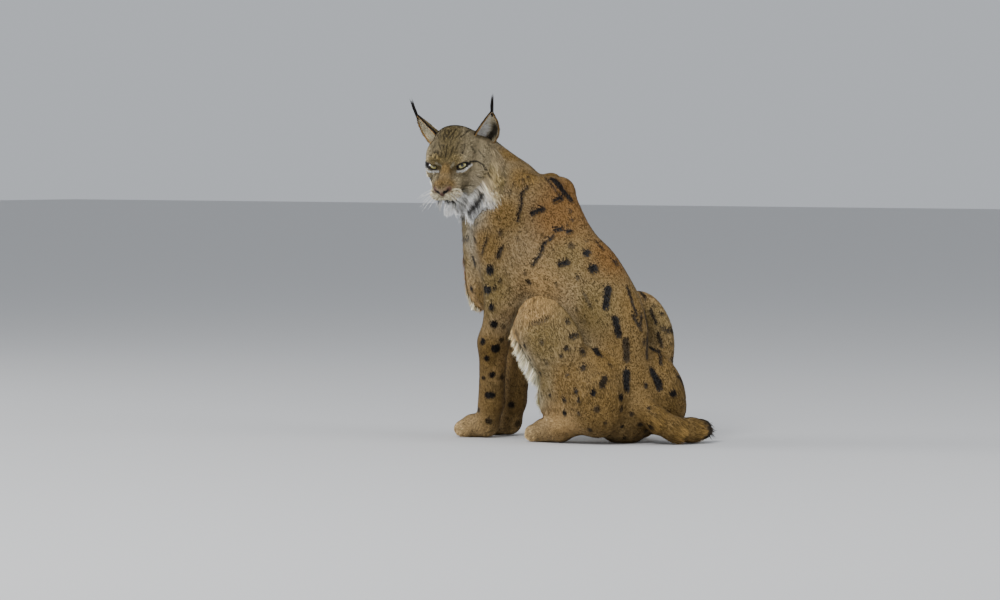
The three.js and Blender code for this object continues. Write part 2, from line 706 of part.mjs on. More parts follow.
const coats = {
  head: [...ruff, ...beard],
  torso_front: chestFringe,
  ...Object.fromEntries(SIDES.map(([side, s]) => [`thigh_${side}`, thighFringe(s)])),
};
for (const [name, locks] of Object.entries(coats)) {
  const fringe = wasm.Manifold.union(locks);
  const clear = Object.keys(bodies)
    .filter((other) => other !== name)
    .reduce((rest, other) => rest.subtract(grown(bodies[other], 2 * SEAM)), fringe);
  bodies[name] = largest(bodies[name].add(clear));
}

const materials = {
  coat: new THREE.MeshStandardMaterial({ color: 0xa8804f, roughness: 0.9 }),
  pale: new THREE.MeshStandardMaterial({ color: 0xd8cfc0, roughness: 0.9 }),
  eye: new THREE.MeshStandardMaterial({ color: 0xa89a3c, roughness: 0.1 }),
};
const group = new THREE.Group();
for (const [name, part] of Object.entries(bodies)) {
  const material = name.startsWith("eye") ? materials.eye : materials.coat;
  const plain = largest(part.simplify(coats[name] ? LOCK_SLIVER : SLIVER));
  const mesh = new THREE.Mesh(geometryOf(plain), material);
  mesh.name = name;
  group.add(mesh);
}

export default group;
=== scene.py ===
import math

import bmesh
import bpy
import numpy as np
import openvdb
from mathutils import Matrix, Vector
from mathutils.bvhtree import BVHTree
from mathutils.kdtree import KDTree


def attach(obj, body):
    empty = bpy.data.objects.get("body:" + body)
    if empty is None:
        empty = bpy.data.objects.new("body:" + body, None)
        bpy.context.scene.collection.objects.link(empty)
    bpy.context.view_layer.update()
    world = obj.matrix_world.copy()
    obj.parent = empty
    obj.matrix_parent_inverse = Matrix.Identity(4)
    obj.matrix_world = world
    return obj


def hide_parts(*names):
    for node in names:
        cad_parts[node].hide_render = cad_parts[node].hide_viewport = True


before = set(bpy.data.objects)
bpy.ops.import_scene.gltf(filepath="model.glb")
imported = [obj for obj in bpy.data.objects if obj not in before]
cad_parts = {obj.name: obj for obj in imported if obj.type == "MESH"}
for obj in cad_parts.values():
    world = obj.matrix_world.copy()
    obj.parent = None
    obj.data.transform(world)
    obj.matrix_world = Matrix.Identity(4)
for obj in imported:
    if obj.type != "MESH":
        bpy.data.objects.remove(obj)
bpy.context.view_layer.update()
chance = np.random.default_rng(22)

# All the shapes below are in millimetres, in the frame of the solids. Blender's own units are metres.
MM = 0.001
SIDES = (("left", 1), ("right", -1))


# Where the camera stands: ten metres off, just above the floor.
PIXEL = 2.2  # millimetres of the animal for a pixel of a picture a thousand wide
AZIMUTH = math.radians(128)
ELEVATION = math.radians(2)
DISTANCE = 10000.0
SEAT_PIXEL = (630, 443)  # where the middle of the seat falls in the picture
PICTURE = (1000, 600)
RIGHT = np.array([math.cos(AZIMUTH), math.sin(AZIMUTH), 0.0])
BACK = np.array(
    [math.sin(AZIMUTH) * math.cos(ELEVATION), -math.cos(AZIMUTH) * math.cos(ELEVATION), math.sin(ELEVATION)]
)
UP = np.cross(BACK, RIGHT)
CAMERA_AIM = RIGHT * (PICTURE[0] / 2 - SEAT_PIXEL[0]) * PIXEL + UP * (SEAT_PIXEL[1] - PICTURE[1] / 2) * PIXEL
SENSOR = 36  # the sensor's width in millimetres
FARTHEST_SEEN = 100  # in metres


def make_camera():
    camera = bpy.data.objects.new("camera", bpy.data.cameras.new("camera"))
    bpy.context.scene.collection.objects.link(camera)
    camera.location = Vector(CAMERA_AIM + BACK * DISTANCE) * MM
    camera.rotation_mode = "QUATERNION"
    camera.rotation_quaternion = Vector(-BACK).to_track_quat("-Z", "Y")
    camera.data.sensor_width = SENSOR
    camera.data.lens = SENSOR * DISTANCE / (PICTURE[0] * PIXEL)
    camera.data.clip_end = FARTHEST_SEEN
    bpy.context.scene.camera = camera


make_camera()


# Frames of the parts of the body: a place, a heading and a pitch.
class Frame:
    def __init__(self, place=(0, 0, 0), heading=0, pitch=0):
        h, p = math.radians(heading), math.radians(pitch)
        turn_z = np.array([[math.cos(h), -math.sin(h), 0], [math.sin(h), math.cos(h), 0], [0, 0, 1]])
        turn_x = np.array([[1, 0, 0], [0, math.cos(p), -math.sin(p)], [0, math.sin(p), math.cos(p)]])
        self.turn = turn_z @ turn_x
        self.place = np.array(place, float)

    def inward(self, points):
        return (np.asarray(points, float) - self.place) @ self.turn

    def outward(self, points):
        return np.asarray(points, float) @ self.turn.T + self.place

    def along(self, directions):
        return np.asarray(directions, float) @ self.turn.T


world = Frame()
pelvis = Frame(heading=-13)
chest = Frame((0, -358, 0), 5)
skull = Frame((93, -436, 610), 103, 29)
EYE_PLACE = 35  # from the middle of the face to the middle of each eyeball
EYE_RADIUS = 14.3


# The body as one field, below zero inside. A muscle is a limb, which tapers from one ball to another, or an
# egg-shaped mass.
def limb(base, start, end, start_radius, end_radius):
    start, end = base.outward(start), base.outward(end)
    axis = end - start

    def distance(p):
        along = np.clip((p - start) @ axis / (axis @ axis), 0, 1)
        offset = p - start - along[:, None] * axis
        return np.sqrt(np.einsum("ij,ij->i", offset, offset)) - (
            start_radius + (end_radius - start_radius) * along
        )

    return distance


def chain(base, points, radii):
    return [limb(base, points[n], points[n + 1], radii[n], radii[n + 1]) for n in range(len(points) - 1)]


def mass(base, centre, radii, lean=0, yaw=0, roll=0):
    turn = base.turn @ Frame(heading=yaw).turn @ rolled(roll) @ Frame(pitch=lean).turn
    centre = base.outward(centre)
    radii = np.array(radii, float)

    def distance(p):
        v = ((p - centre) @ turn) / radii
        reach = np.sqrt(np.einsum("ij,ij->i", v, v))
        v = v / radii
        return reach * (reach - 1) / np.maximum(np.sqrt(np.einsum("ij,ij->i", v, v)), 1e-6)

    return distance


def rolled(angle):
    a = math.radians(angle)
    return np.array([[math.cos(a), 0, math.sin(a)], [0, 1, 0], [-math.sin(a), 0, math.cos(a)]])


def melt(softness, muscles):
    def distance(p):
        values = np.stack([muscle(p) for muscle in muscles])
        least = values.min(axis=0)
        return least - softness * np.log(np.exp((least - values) / softness).sum(axis=0))

    return distance


torso = melt(12, [
    mass(pelvis, (0, -28, 110), (90, 82, 121), 8),
    mass(pelvis, (0, -82, 276), (80, 106, 154), 37),
    mass(world, (-8, -96, 382), (56, 56, 82), 38),
    mass(chest, (0, 144, 402), (76, 116, 160), 42),
    mass(chest, (0, 150, 500), (44, 60, 84), 30),
    mass(chest, (0, -10, 385), (58, 76, 120)),
    mass(chest, (0, -56, 372), (34, 36, 90), -6),
    mass(chest, (0, 50, 325), (52, 88, 66)),
])
neck = melt(10, [
    limb(world, (0, -285, 515), (8, -432, 610), 74, 62),
    limb(world, (-4, -330, 570), (0, -425, 640), 60, 46),
    limb(world, (-5, -425, 560), (0, -388, 430), 58, 66),
])


def half_head(s):
    return [
        mass(skull, (s * 24, 64, 7), (31, 50, 42)),
        mass(skull, (s * 46, 34, 3), (20, 34, 36)),
        mass(skull, (s * 30, -4, 12), (16, 12, 8)),
        mass(skull, (s * 37, 0, 0), (19, 17, 17)),
        mass(skull, (s * 36, 22, -50), (26, 34, 30)),
        mass(skull, (s * 14, -36, -43), (16, 20, 13)),
        mass(skull, (s * 23, -14, -34), (19, 27, 20)),
        mass(skull, (s * 42, 24, -20), (25, 36, 30)),
        mass(skull, (s * 48, 58, -50), (27, 32, 50), 0, 0, s * 10),
    ]


head = melt(4.5, [
    mass(skull, (0, 64, -2), (50, 62, 49)),
    mass(skull, (0, 56, 25), (54, 44, 46)),
    limb(skull, (0, 6, 0), (0, -44, -26), 19, 13),
    limb(skull, (0, -26, -62), (0, 44, -54), 14, 36),
    mass(skull, (0, -53, -31), (15, 9, 9)),
    *half_head(1),
    *half_head(-1),
])


def foreleg(s):
    return melt(8, [
        limb(chest, (s * 47, 104, 573), (s * 58, 15, 468), 24, 46),
        mass(chest, (s * 50, 84, 512), (24, 48, 84), -42),
        limb(chest, (s * 58, 15, 465), (s * 59, 40, 300), 48, 38),
        mass(chest, (s * 58, 66, 385), (26, 46, 84), -12),
        limb(chest, (s * 59, 38, 292), (s * 55, 14, 215), 40, 35),
        limb(chest, (s * 55, 14, 215), (s * 46, 2, 78), 35, 31),
        mass(chest, (s * 24, 142, 550), (20, 40, 36), 30),
    ])


# The four toes of a paw, side by side, the middle two a little ahead.
def toes(base, x, y):
    places = (-1.5, -0.5, 0.5, 1.5)
    return [mass(base, (x + n * 15.5, y + abs(n) * 7, 20), (11.5, 24, 20), 0, n * 6) for n in places]


def forepaw(s):
    return melt(4, [
        limb(chest, (s * 46, 4, 80), (s * 46, -8, 36), 27, 29),
        limb(chest, (s * 46, -10, 29), (s * 46, -46, 26), 29, 28),
        *toes(chest, s * 46, -68),
    ])


THIGH = {"left": (126, -118, 224), "right": (133, -112, 228)}  # the middle of each


def haunch(s, middle):
    x, y, z = middle
    return melt(9, [
        mass(pelvis, (s * x, y, z), (46, 92, 122), 48, 0, s * 8),
        mass(pelvis, (s * 86, -32, 122), (52, 78, 92), 20),
        limb(pelvis, (s * 70, -30, 110), (s * (x + 20), y - 50, z + 28), 52, 36),
        limb(pelvis, (s * (x + 20), y - 50, z + 26), (s * 104, 18, 72), 36, 30),
        mass(pelvis, (s * 120, -86, 108), (36, 80, 78)),
        mass(pelvis, (s * 90, -8, 98), (56, 68, 86)),
    ])


def hindpaw(s):
    return melt(4, [
        limb(pelvis, (s * 104, 16, 66), (s * 118, -96, 32), 31, 30),
        limb(pelvis, (s * 118, -96, 30), (s * 124, -146, 26), 30, 28),
        *toes(pelvis, s * 124, -168),
    ])


TAIL_PATH = [(0, 44, 80), (-12, 80, 52), (-42, 102, 33), (-88, 104, 30), (-130, 87, 29)]
tail = melt(6, chain(pelvis, TAIL_PATH, (31, 30, 29, 28, 27)))
trunk = melt(13, [
    torso, neck, *[part for side, s in SIDES for part in (foreleg(s), haunch(s, THIGH[side]))],
])
all_parts = [trunk, head, tail, *[part for _, s in SIDES for part in (forepaw(s), hindpaw(s))]]
body = melt(5, all_parts)
fluff = melt(8, all_parts)  # the outside of the fur, which fills the creases between the parts
upper_body = melt(5, [melt(13, [torso, neck, foreleg(1), foreleg(-1)]), head])  # all that reaches the head


# Colours of the coat, as red, green and blue from 0 to 255.
COLOURS = {
    "tawny": (136, 107, 58),
    "rust": (134, 96, 47),
    "buff": (136, 114, 68),
    "sand": (182, 147, 94),
    "straw": (198, 166, 116),
    "oat": (186, 168, 136),
    "dun": (130, 113, 74),
    "grizzle": (160, 145, 113),
    "ash": (116, 103, 79),
    "umber": (128, 103, 62),
    "cream": (220, 208, 176),
    "white": (248, 246, 240),
    "rose": (138, 92, 80),
    "leather": (88, 58, 46),
    "black": (24, 19, 16),
}


def linear(colour):
    share = np.array(colour, float) / 255
    return np.where(share < 0.04045, share / 12.92, ((share + 0.055) / 1.055) ** 2.4)


SHADES = {name: linear(colour) for name, colour in COLOURS.items()}


# How the coat lies. Each line is a place on the body: its frame and point, the way its hair points, its
# colour, how long the hair is, how wide a tuft, how far its tip lifts as a share of its length, and how
# deep the coat is. Anything between is a mix of the nearest lines. A line off the middle stands for both
# sides, except on the tail, which lies to one side.
def both_sides(base, point, lie, *rest):
    x, y, z = point
    a, b, c = lie
    row = (base, point, lie, *rest)
    return [row, (base, (-x, y, z), (-a, b, c), *rest)] if x else [row]


BODY_COAT = [
    (skull, (0, -50, -22), (0, 0.6, 0.8), "umber", 4, 0.8, 0.05, 1.5),
    (skull, (0, -22, 0), (0, 0.7, 0.7), "umber", 6, 0.8, 0.05, 1.5),
    (skull, (0, 5, 24), (0, 0.7, 0.7), "dun", 8, 0.9, 0.05, 2.5),
    (skull, (0, 40, 50), (0, 0.95, 0.3), "dun", 13, 1, 0.3, 4),
    (skull, (0, 90, 52), (0, 1, -0.3), "dun", 20, 1.2, 0.3, 6),
    (skull, (10, -54, -48), (0.8, 0.3, -0.4), "cream", 4, 0.8, 0.1, 1.5),
    (skull, (20, -44, -46), (0.8, 0.5, -0.3), "oat", 5, 0.8, 0.1, 2),
    (skull, (14, -44, -26), (0.4, 0.8, 0.3), "umber", 5, 0.8, 0.05, 1.5),
    (skull, (30, -22, -24), (0.6, 0.8, -0.2), "grizzle", 7, 0.9, 0.08, 2.5),
    (skull, (36, -14, -42), (0.7, 0.6, -0.3), "grizzle", 9, 0.9, 0.12, 2.5),
    (skull, (22, -10, 12), (0.3, 0.7, 0.6), "dun", 5, 0.9, 0.05, 2),
    (skull, (48, 6, 16), (0.5, 0.8, 0.2), "grizzle", 9, 0.9, 0.08, 3),
    (skull, (58, 24, -12), (0.3, 0.9, -0.3), "grizzle", 12, 1, 0.1, 4),
    (skull, (50, 16, -44), (0.5, 0.7, -0.5), "oat", 13, 1, 0.12, 4),
    (skull, (40, -2, -62), (0.6, 0.4, -0.7), "cream", 13, 1, 0.15, 3),
    (skull, (40, 60, 44), (0.3, 0.95, 0.1), "grizzle", 14, 1, 0.3, 4),
    (skull, (66, 60, -20), (0.5, 0.7, -0.5), "grizzle", 18, 1.2, 0.18, 5),
    (skull, (62, 50, -60), (0.45, 0.4, -0.8), "grizzle", 22, 1.2, 0.2, 6),
    (skull, (44, 34, -84), (0.3, 0.2, -0.95), "white", 30, 1.4, 0.3, 7),
    (skull, (76, 84, -50), (0.5, 0.5, -0.7), "dun", 28, 1.4, 0.25, 7),
    (skull, (26, -8, -74), (0.4, 0.3, -0.9), "white", 18, 1.1, 0.25, 3),
    (skull, (0, -58, -80), (0, -0.2, -1), "white", 10, 0.9, 0.25, 2),
    (skull, (0, -34, -92), (0, -0.2, -1), "white", 22, 1.2, 0.3, 4),
    (skull, (0, 16, -90), (0, 0.4, -0.9), "white", 38, 1.5, 0.3, 7),
    (world, (0, -330, 640), (0, 0.8, -0.6), "tawny", 26, 1.4, 0.06, 8),
    (world, (62, -340, 580), (0.1, 0.5, -0.85), "dun", 28, 1.5, 0.06, 9),
    (chest, (56, -30, 500), (0.1, 0.2, -1), "dun", 28, 1.5, 0.08, 9),
    (chest, (32, -76, 474), (0.05, 0, -1), "dun", 30, 1.5, 0.12, 9),
    (chest, (30, -90, 400), (0.05, 0, -1), "buff", 32, 1.5, 0.14, 9),
    (chest, (0, -120, 520), (0, -0.1, -1), "dun", 34, 1.6, 0.2, 9),
    (chest, (0, -112, 430), (0, -0.15, -1), "buff", 42, 1.6, 0.24, 10),
    (chest, (0, -96, 350), (0, -0.1, -1), "sand", 38, 1.6, 0.22, 9),
    (chest, (0, -60, 290), (0, 0.2, -1), "sand", 30, 1.6, 0.2, 9),
    (chest, (0, 60, 260), (0, 0.4, -0.9), "cream", 30, 1.6, 0.15, 9),
    (chest, (50, 90, 590), (0.1, 0.5, -0.85), "tawny", 24, 1.5, 0.1, 8),
    (chest, (90, 60, 500), (0.05, 0.45, -0.9), "tawny", 26, 1.5, 0.06, 9),
    (chest, (102, 20, 430), (0, 0.3, -1), "tawny", 24, 1.5, 0.06, 8),
    (chest, (92, 24, 330), (0, 0.2, -1), "buff", 20, 1.4, 0.06, 6),
    (chest, (60, -20, 300), (0, 0.05, -1), "tawny", 20, 1.3, 0.14, 5),
    (chest, (80, 20, 190), (0, 0.1, -1), "tawny", 13, 1.1, 0.06, 4),
    (chest, (50, -20, 170), (0, 0, -1), "tawny", 15, 1.1, 0.16, 4),
    (chest, (30, 10, 180), (0, 0.1, -1), "sand", 14, 1.1, 0.06, 4),
    (chest, (56, 50, 180), (0, 0.3, -1), "sand", 18, 1.2, 0.15, 5),
    (chest, (46, 0, 80), (0, -0.1, -1), "tawny", 11, 1, 0.06, 3),
    (chest, (46, -50, 48), (0, -0.85, -0.5), "straw", 9, 0.9, 0.06, 2.5),
    (chest, (46, -88, 25), (0, -0.7, -0.7), "straw", 7, 0.8, 0.06, 2),
    (world, (0, -160, 560), (0, 0.7, -0.7), "rust", 28, 1.6, 0.12, 9),
    (world, (56, -170, 500), (0, 0.7, -0.7), "rust", 28, 1.6, 0.06, 9),
    (world, (0, -40, 430), (0, 0.6, -0.8), "rust", 30, 1.6, 0.14, 10),
    (world, (0, 40, 300), (0, 0.35, -0.95), "tawny", 32, 1.6, 0.16, 10),
    (world, (0, 70, 150), (0, 0.15, -1), "tawny", 32, 1.6, 0.14, 10),
    (world, (84, -130, 420), (0, 0.7, -0.7), "buff", 28, 1.6, 0.06, 9),
    (world, (80, -210, 330), (0, 0.7, -0.7), "sand", 30, 1.6, 0.08, 9),
    (pelvis, (88, -40, 300), (0, 0.6, -0.8), "buff", 28, 1.6, 0.06, 9),
    (pelvis, (80, 30, 200), (0, 0.3, -0.95), "tawny", 28, 1.6, 0.06, 9),
    (pelvis, (164, -130, 300), (0.1, 0.3, -0.8), "sand", 26, 1.5, 0.2, 6),
    (pelvis, (176, -100, 230), (0, 0.5, -0.9), "buff", 26, 1.5, 0.14, 7),
    (pelvis, (150, -206, 250), (0, -0.6, -0.8), "sand", 34, 1.5, 0.35, 6),
    (pelvis, (140, -210, 170), (-0.1, -0.6, -0.8), "cream", 42, 1.5, 0.35, 6),
    (pelvis, (100, -190, 220), (-0.3, -0.3, -1), "cream", 34, 1.5, 0.2, 8),
    (pelvis, (160, -130, 130), (0, 0.3, -1), "buff", 22, 1.5, 0.08, 7),
    (pelvis, (150, -40, 130), (0, 0.5, -0.9), "tawny", 26, 1.5, 0.14, 7),
    (pelvis, (110, -150, 110), (-0.2, -0.2, -1), "cream", 34, 1.4, 0.2, 6),
    (pelvis, (120, 30, 70), (0, 0.6, -0.8), "tawny", 18, 1.4, 0.08, 5),
    (pelvis, (120, -80, 60), (0, -0.5, -0.8), "sand", 13, 1.1, 0.08, 4),
    (pelvis, (124, -150, 48), (0, -0.9, -0.4), "straw", 10, 0.9, 0.06, 2.5),
    (pelvis, (124, -192, 25), (0, -0.7, -0.7), "straw", 7, 0.8, 0.06, 2),
    (pelvis, (60, -150, 180), (0, -0.1, -1), "cream", 34, 1.6, 0.15, 9),
]
TAIL_COAT = [
    (pelvis, (-20, 90, 60), (-0.5, 0.6, -0.6), "tawny", 26, 1.5, 0.25, 5),
    (pelvis, (-90, 104, 44), (-1, 0, -0.1), "tawny", 30, 1.4, 0.3, 4),
    (pelvis, (-150, 80, 30), (-1, -0.3, -0.1), "black", 30, 1.4, 0.35, 4),
]
COAT = [row for line in BODY_COAT for row in both_sides(*line)] + TAIL_COAT
COAT_PLACES = np.array([base.outward(point) for base, point, *_ in COAT])
COAT_LIES = np.array([base.along(lie) / np.linalg.norm(lie) for base, _, lie, *_ in COAT])
COAT_COLOURS = np.array([SHADES[colour] for _, _, _, colour, *_ in COAT])
COAT_SIZES = np.array([sizes for _, _, _, _, *sizes in COAT])  # length, width, lift and depth


# What a table says at each point: a mix of its values by how near their places are.
MIXED_AT_ONCE = 20000
SMOOTHING = 25  # keeps a value from standing out at its own place


def mixed(points, places, values):
    out = np.empty((len(points), values.shape[1]))
    for first in range(0, len(points), MIXED_AT_ONCE):
        some = points[first:first + MIXED_AT_ONCE]
        weight = (((some[:, None, :] - places[None]) ** 2).sum(axis=2) + SMOOTHING) ** -2.0
        out[first:first + MIXED_AT_ONCE] = weight @ values / weight.sum(axis=1)[:, None]
    return out


# The skin's own surface, which lies under the fur by the depth of the coat.
SOLE = 0.6  # the skin's lowest level


def skin_field(p, flesh=body):
    under = flesh(p) + mixed(p, COAT_PLACES, COAT_SIZES[:, 3:])[:, 0]
    return np.maximum(under, SOLE - p[:, 2])


# The skin, meshed from the field on a grid whose fine cells are filled in only near the surface.
CELL = 4.0
BLOCK = 6  # cells along one side of a block


def mesh_field(field, low, high, cell):
    side = cell * BLOCK
    blocks = np.ceil((np.array(high) - low) / side).astype(int)
    corner = np.stack(np.meshgrid(*[np.arange(n) for n in blocks], indexing="ij"), axis=-1).reshape(-1, 3)
    middle = field(low + (corner + 0.5) * side)
    values = np.repeat(middle, BLOCK ** 3).reshape(-1, BLOCK, BLOCK, BLOCK)
    near = np.flatnonzero(np.abs(middle) < side)
    inner = np.stack(np.meshgrid(*[np.arange(BLOCK)] * 3, indexing="ij"), axis=-1).reshape(1, -1, 3)
    fine = low + (corner[near, None] * BLOCK + inner) * cell
    filled = np.concatenate([field(some.reshape(-1, 3)) for some in np.array_split(fine, 40)])
    values[near] = filled.reshape(-1, BLOCK, BLOCK, BLOCK)
    dense = values.reshape(*blocks, BLOCK, BLOCK, BLOCK).transpose(0, 3, 1, 4, 2, 5)
    dense = np.ascontiguousarray(dense.reshape(blocks * BLOCK), dtype=np.float32)
    grid = openvdb.FloatGrid(1e3)
    grid.copyFromArray(dense)
    points, quads = grid.convertToQuads(0.0)
    return np.asarray(points, float) * cell + low, np.asarray(quads)


def slope(field, p, step=0.2):
    return np.stack([(field(p + m) - field(p - m)) / (2 * step) for m in np.eye(3) * step], axis=1)


def unit(v):
    return v / np.maximum(np.linalg.norm(v, axis=-1, keepdims=True), 1e-9)


# A share held between nothing and all.
def held(share):
    return np.clip(share, 0, 1)


def fewer(count):
    return count


def new_object(name, points, faces):
    mesh = bpy.data.meshes.new(name)
    mesh.vertices.add(len(points))
    mesh.vertices.foreach_set("co", (np.asarray(points) * MM).astype(np.float32).ravel())
    faces = np.asarray(faces)
    count, sides = faces.shape
    mesh.loops.add(count * sides)
    mesh.loops.foreach_set("vertex_index", faces.astype(np.int32).ravel())
    mesh.polygons.add(count)
    mesh.polygons.foreach_set("loop_start", (np.arange(count) * sides).astype(np.int32))
    mesh.update(calc_edges=True)
    mesh.polygons.foreach_set("use_smooth", np.ones(count, bool))
    mesh.validate()
    piece = bpy.data.objects.new(name, mesh)
    bpy.context.scene.collection.objects.link(piece)
    return piece


# A fair pick of places on the skin.
def pick_places(points, triangles, crowd, normals):
    a, b, c = (points[triangles[:, i]] for i in range(3))
    area = np.linalg.norm(np.cross(b - a, c - a), axis=1) / 2
    wanted = area * crowd[triangles].mean(axis=1)
    count = chance.poisson(wanted)
    which = np.repeat(np.arange(len(triangles)), count)
    u, v = chance.random((2, len(which)))
    u, v = np.where(u + v > 1, (1 - u, 1 - v), (u, v))
    weights = np.stack([1 - u - v, u, v], axis=1)[:, :, None]
    corners = triangles[which]
    return (points[corners] * weights).sum(axis=1), unit((normals[corners] * weights).sum(axis=1))


# The marks of the coat, as strokes in pixels of the picture. Each has a radius in pixels, a strength and its
# points, and a pale one has its colour before them.
DARK_MARKS = [
    (1.3, 1, (527.6, 187), (521.8, 192.5), (520.7, 205), (516.7, 222)), (0.9, 0.5, (513, 183), (508, 195)),
    (1.6, 0.8, (521.8, 180)), (1.6, 0.8, (527.6, 176)), (2.2, 1, (532, 214), (543.6, 209.7)),
    (2.2, 1, (555, 201), (562.5, 198)), (2.2, 1, (552, 176.5), (560, 184), (574, 199.3)),
    (1.0, 0.8, (546, 176), (552, 185), (560, 196)), (1.8, 1, (554, 230), (562, 227.5)),
    (2.2, 1, (568, 230.6), (571, 230.6)), (1.5, 0.7, (568, 224.4)), (1.6, 0.8, (573, 219)),
    (1.6, 0.8, (571.6, 209.6)), (1.6, 1, (551.7, 236), (543, 244), (540, 253), (531, 266.5)),
    (2.4, 1, (558.6, 265), (566, 262.5)), (3.4, 1, (586, 251.8)), (4.0, 1, (593, 268.7)),
    (2.2, 0.8, (575.3, 278.5)), (1.8, 0.7, (555, 286)), (2.2, 0.9, (527.6, 284.5)), (1.8, 0.7, (524, 275)),
    (1.5, 0.6, (581, 292.6), (589.4, 308)), (3.0, 1, (608, 287.6), (604.8, 306.5)),
    (2.6, 1, (614.7, 318.6), (618.2, 335.4)), (2.6, 0.85, (626, 341), (627.3, 359.3)),
    (3.4, 1, (628.7, 372), (629.4, 388.7)), (3.0, 1, (623, 398.6)), (2.6, 0.8, (623, 411)),
    (1.5, 0.8, (587, 238.4)), (1.2, 0.8, (598, 239), (605, 247)), (1.8, 0.8, (616.3, 259), (618.9, 263)),
    (1.4, 0.6, (626.3, 265)), (1.6, 0.9, (630, 286), (635.7, 304.5), (640, 314.4)),
    (1.6, 0.9, (634.3, 314.4), (644.2, 329.8)), (2.2, 0.8, (647, 343.8)),
    (1.5, 0.9, (637, 283.5), (645.6, 297.5)), (1.5, 0.9, (649.8, 308.8), (655.4, 322.8)),
    (1.5, 0.9, (656.8, 332.6), (663, 349.4), (662.4, 362)), (1.8, 0.7, (654, 304.5)),
    (2.2, 0.9, (663.8, 312.3)), (1.8, 0.8, (662.4, 327.7)), (2.0, 0.8, (674.3, 329.8)),
    (1.8, 0.7, (673.6, 344.5)), (1.5, 0.9, (454.7, 221.7), (461, 219)),
    (1.4, 0.7, (472.5, 225.8), (475.3, 223.5)), (2.0, 0.7, (500.6, 233.8)), (1.6, 0.45, (499, 220)),
    (1.6, 0.9, (459.8, 241.8), (465.6, 239.5)), (1.4, 0.8, (479.4, 255.6), (486.2, 239.5)),
    (2.0, 0.9, (497.7, 257.9), (501.7, 248.7)), (1.6, 0.9, (470.2, 258), (472.5, 267)),
    (2.0, 0.9, (460.4, 266.5)), (3.8, 1, (488.5, 271.2)), (1.8, 0.7, (500, 282)), (2.8, 1, (469, 290.6)),
    (3.2, 1, (483.5, 290.8), (487, 291)), (2.0, 0.8, (494, 289.3)), (2.8, 1, (490, 308.6)),
    (2.4, 1, (480.7, 315.4)), (3.2, 1, (493.2, 325.6)), (1.8, 0.8, (504.6, 328.4)), (2.6, 1, (482, 342.4)),
    (2.0, 0.8, (502.4, 341)), (3.6, 1, (496, 349.4)), (2.4, 1, (486.3, 359.3)), (2.4, 1, (492.6, 376)),
    (2.4, 0.8, (503, 378)), (2.0, 0.9, (482.8, 379)), (2.4, 1, (487, 395.7), (492.6, 395.7)),
    (1.4, 0.7, (528.9, 324.7), (538, 323), (546.5, 318.6)),
    (2.2, 0.9, (571, 338), (575.4, 335.4), (580, 334)), (2.0, 0.5, (579.6, 321.4)),
    (2.4, 0.7, (540.3, 343)), (1.8, 0.6, (514.4, 335.4)), (2.0, 1, (522.8, 348)), (2.0, 1, (527.7, 360.7)),
    (2.4, 0.5, (545.2, 364.2)), (2.2, 1, (565.6, 350)), (1.8, 0.9, (560, 357.2)),
    (2.8, 1, (596.5, 343.8), (600.7, 352.2)), (2.6, 0.9, (582.4, 367)), (2.0, 0.8, (566.3, 375.4)),
    (2.0, 0.5, (529.8, 375.4)), (2.4, 0.9, (606.3, 377.5), (602.8, 386)), (2.2, 1, (574.7, 392.2)),
    (2.4, 1, (593, 393.6)), (2.0, 1, (548, 396.4)), (2.2, 1, (562.8, 401.4)), (2.0, 1, (577.5, 401.4)),
    (2.4, 1, (541, 412)), (2.4, 1, (563.5, 414)), (2.0, 0.8, (577.5, 414.7)), (2.6, 0.8, (596.5, 409.8)),
    # the face
    (0.8, 1, (470.5, 161.6), (478.4, 161.2), (483.1, 164.3), (486.1, 169.5)),
    (0.8, 0.5, (477.4, 176.1), (483.1, 178.4), (483.6, 181.3)),
    (1.0, 0.8, (488.8, 174.7), (491.1, 178.4), (490.2, 183.2)), (1.3, 0.9, (488.8, 186)),
    (2.0, 1, (481.2, 194), (478.4, 202), (471.8, 211.5)), (0.7, 0.8, (453.4, 188.3)),
    (0.7, 0.8, (457.6, 187.9)), (0.7, 0.8, (461.4, 188.3)), (0.7, 0.8, (451.5, 191.6)),
    (0.7, 0.8, (455.7, 191.2)), (0.7, 0.8, (459.5, 191.2)), (0.6, 0.6, (466, 186), (474, 186)),
    (0.65, 0.75, (440.6, 144.4), (444.4, 145.4)), (0.65, 0.75, (437.3, 150.1), (436.4, 156.7)),
    (0.65, 0.75, (441.5, 150.1), (439.7, 158.6)), (0.65, 0.75, (447.2, 144.4), (445.3, 156.7)),
    (0.65, 0.75, (456.7, 127.4), (449.1, 136.9)), (0.65, 0.75, (469.9, 129.3), (460.4, 136.9)),
    (0.65, 0.75, (475.5, 127), (466.1, 131.2)), (0.65, 0.75, (451.5, 128.4), (447.2, 135)),
    (1.0, 0.8, (461.9, 152), (460.4, 157.7)), (0.6, 0.7, (453, 146), (450, 156)),
    (0.6, 0.7, (459, 142), (456, 149)), (0.6, 0.7, (465, 143), (464, 148)),
    (0.6, 0.65, (446, 134), (441, 141)), (0.6, 0.65, (454, 134), (450, 142)),
    (0.6, 0.65, (462, 131), (456, 137)), (0.8, 0.6, (472, 146), (476, 152)),
    (0.8, 0.6, (480, 150), (484, 156)),
]
PALE_MARKS = [
    ("white", 0.85, 1, (455.5, 172), (464.2, 170.2), (472.3, 164.8)),
    ("cream", 1.1, 0.6, (452, 167), (454.2, 163)),
    ("cream", 0.8, 0.8, (435.4, 170), (432, 176.5), (430.2, 182.2)),
    ("cream", 0.8, 0.9, (452, 190), (460, 189.6), (470, 188)),
    ("cream", 0.9, 0.9, (451, 193.4), (458, 193.4), (466, 192)),
]
MARKS = [("black", *mark) for mark in DARK_MARKS] + PALE_MARKS


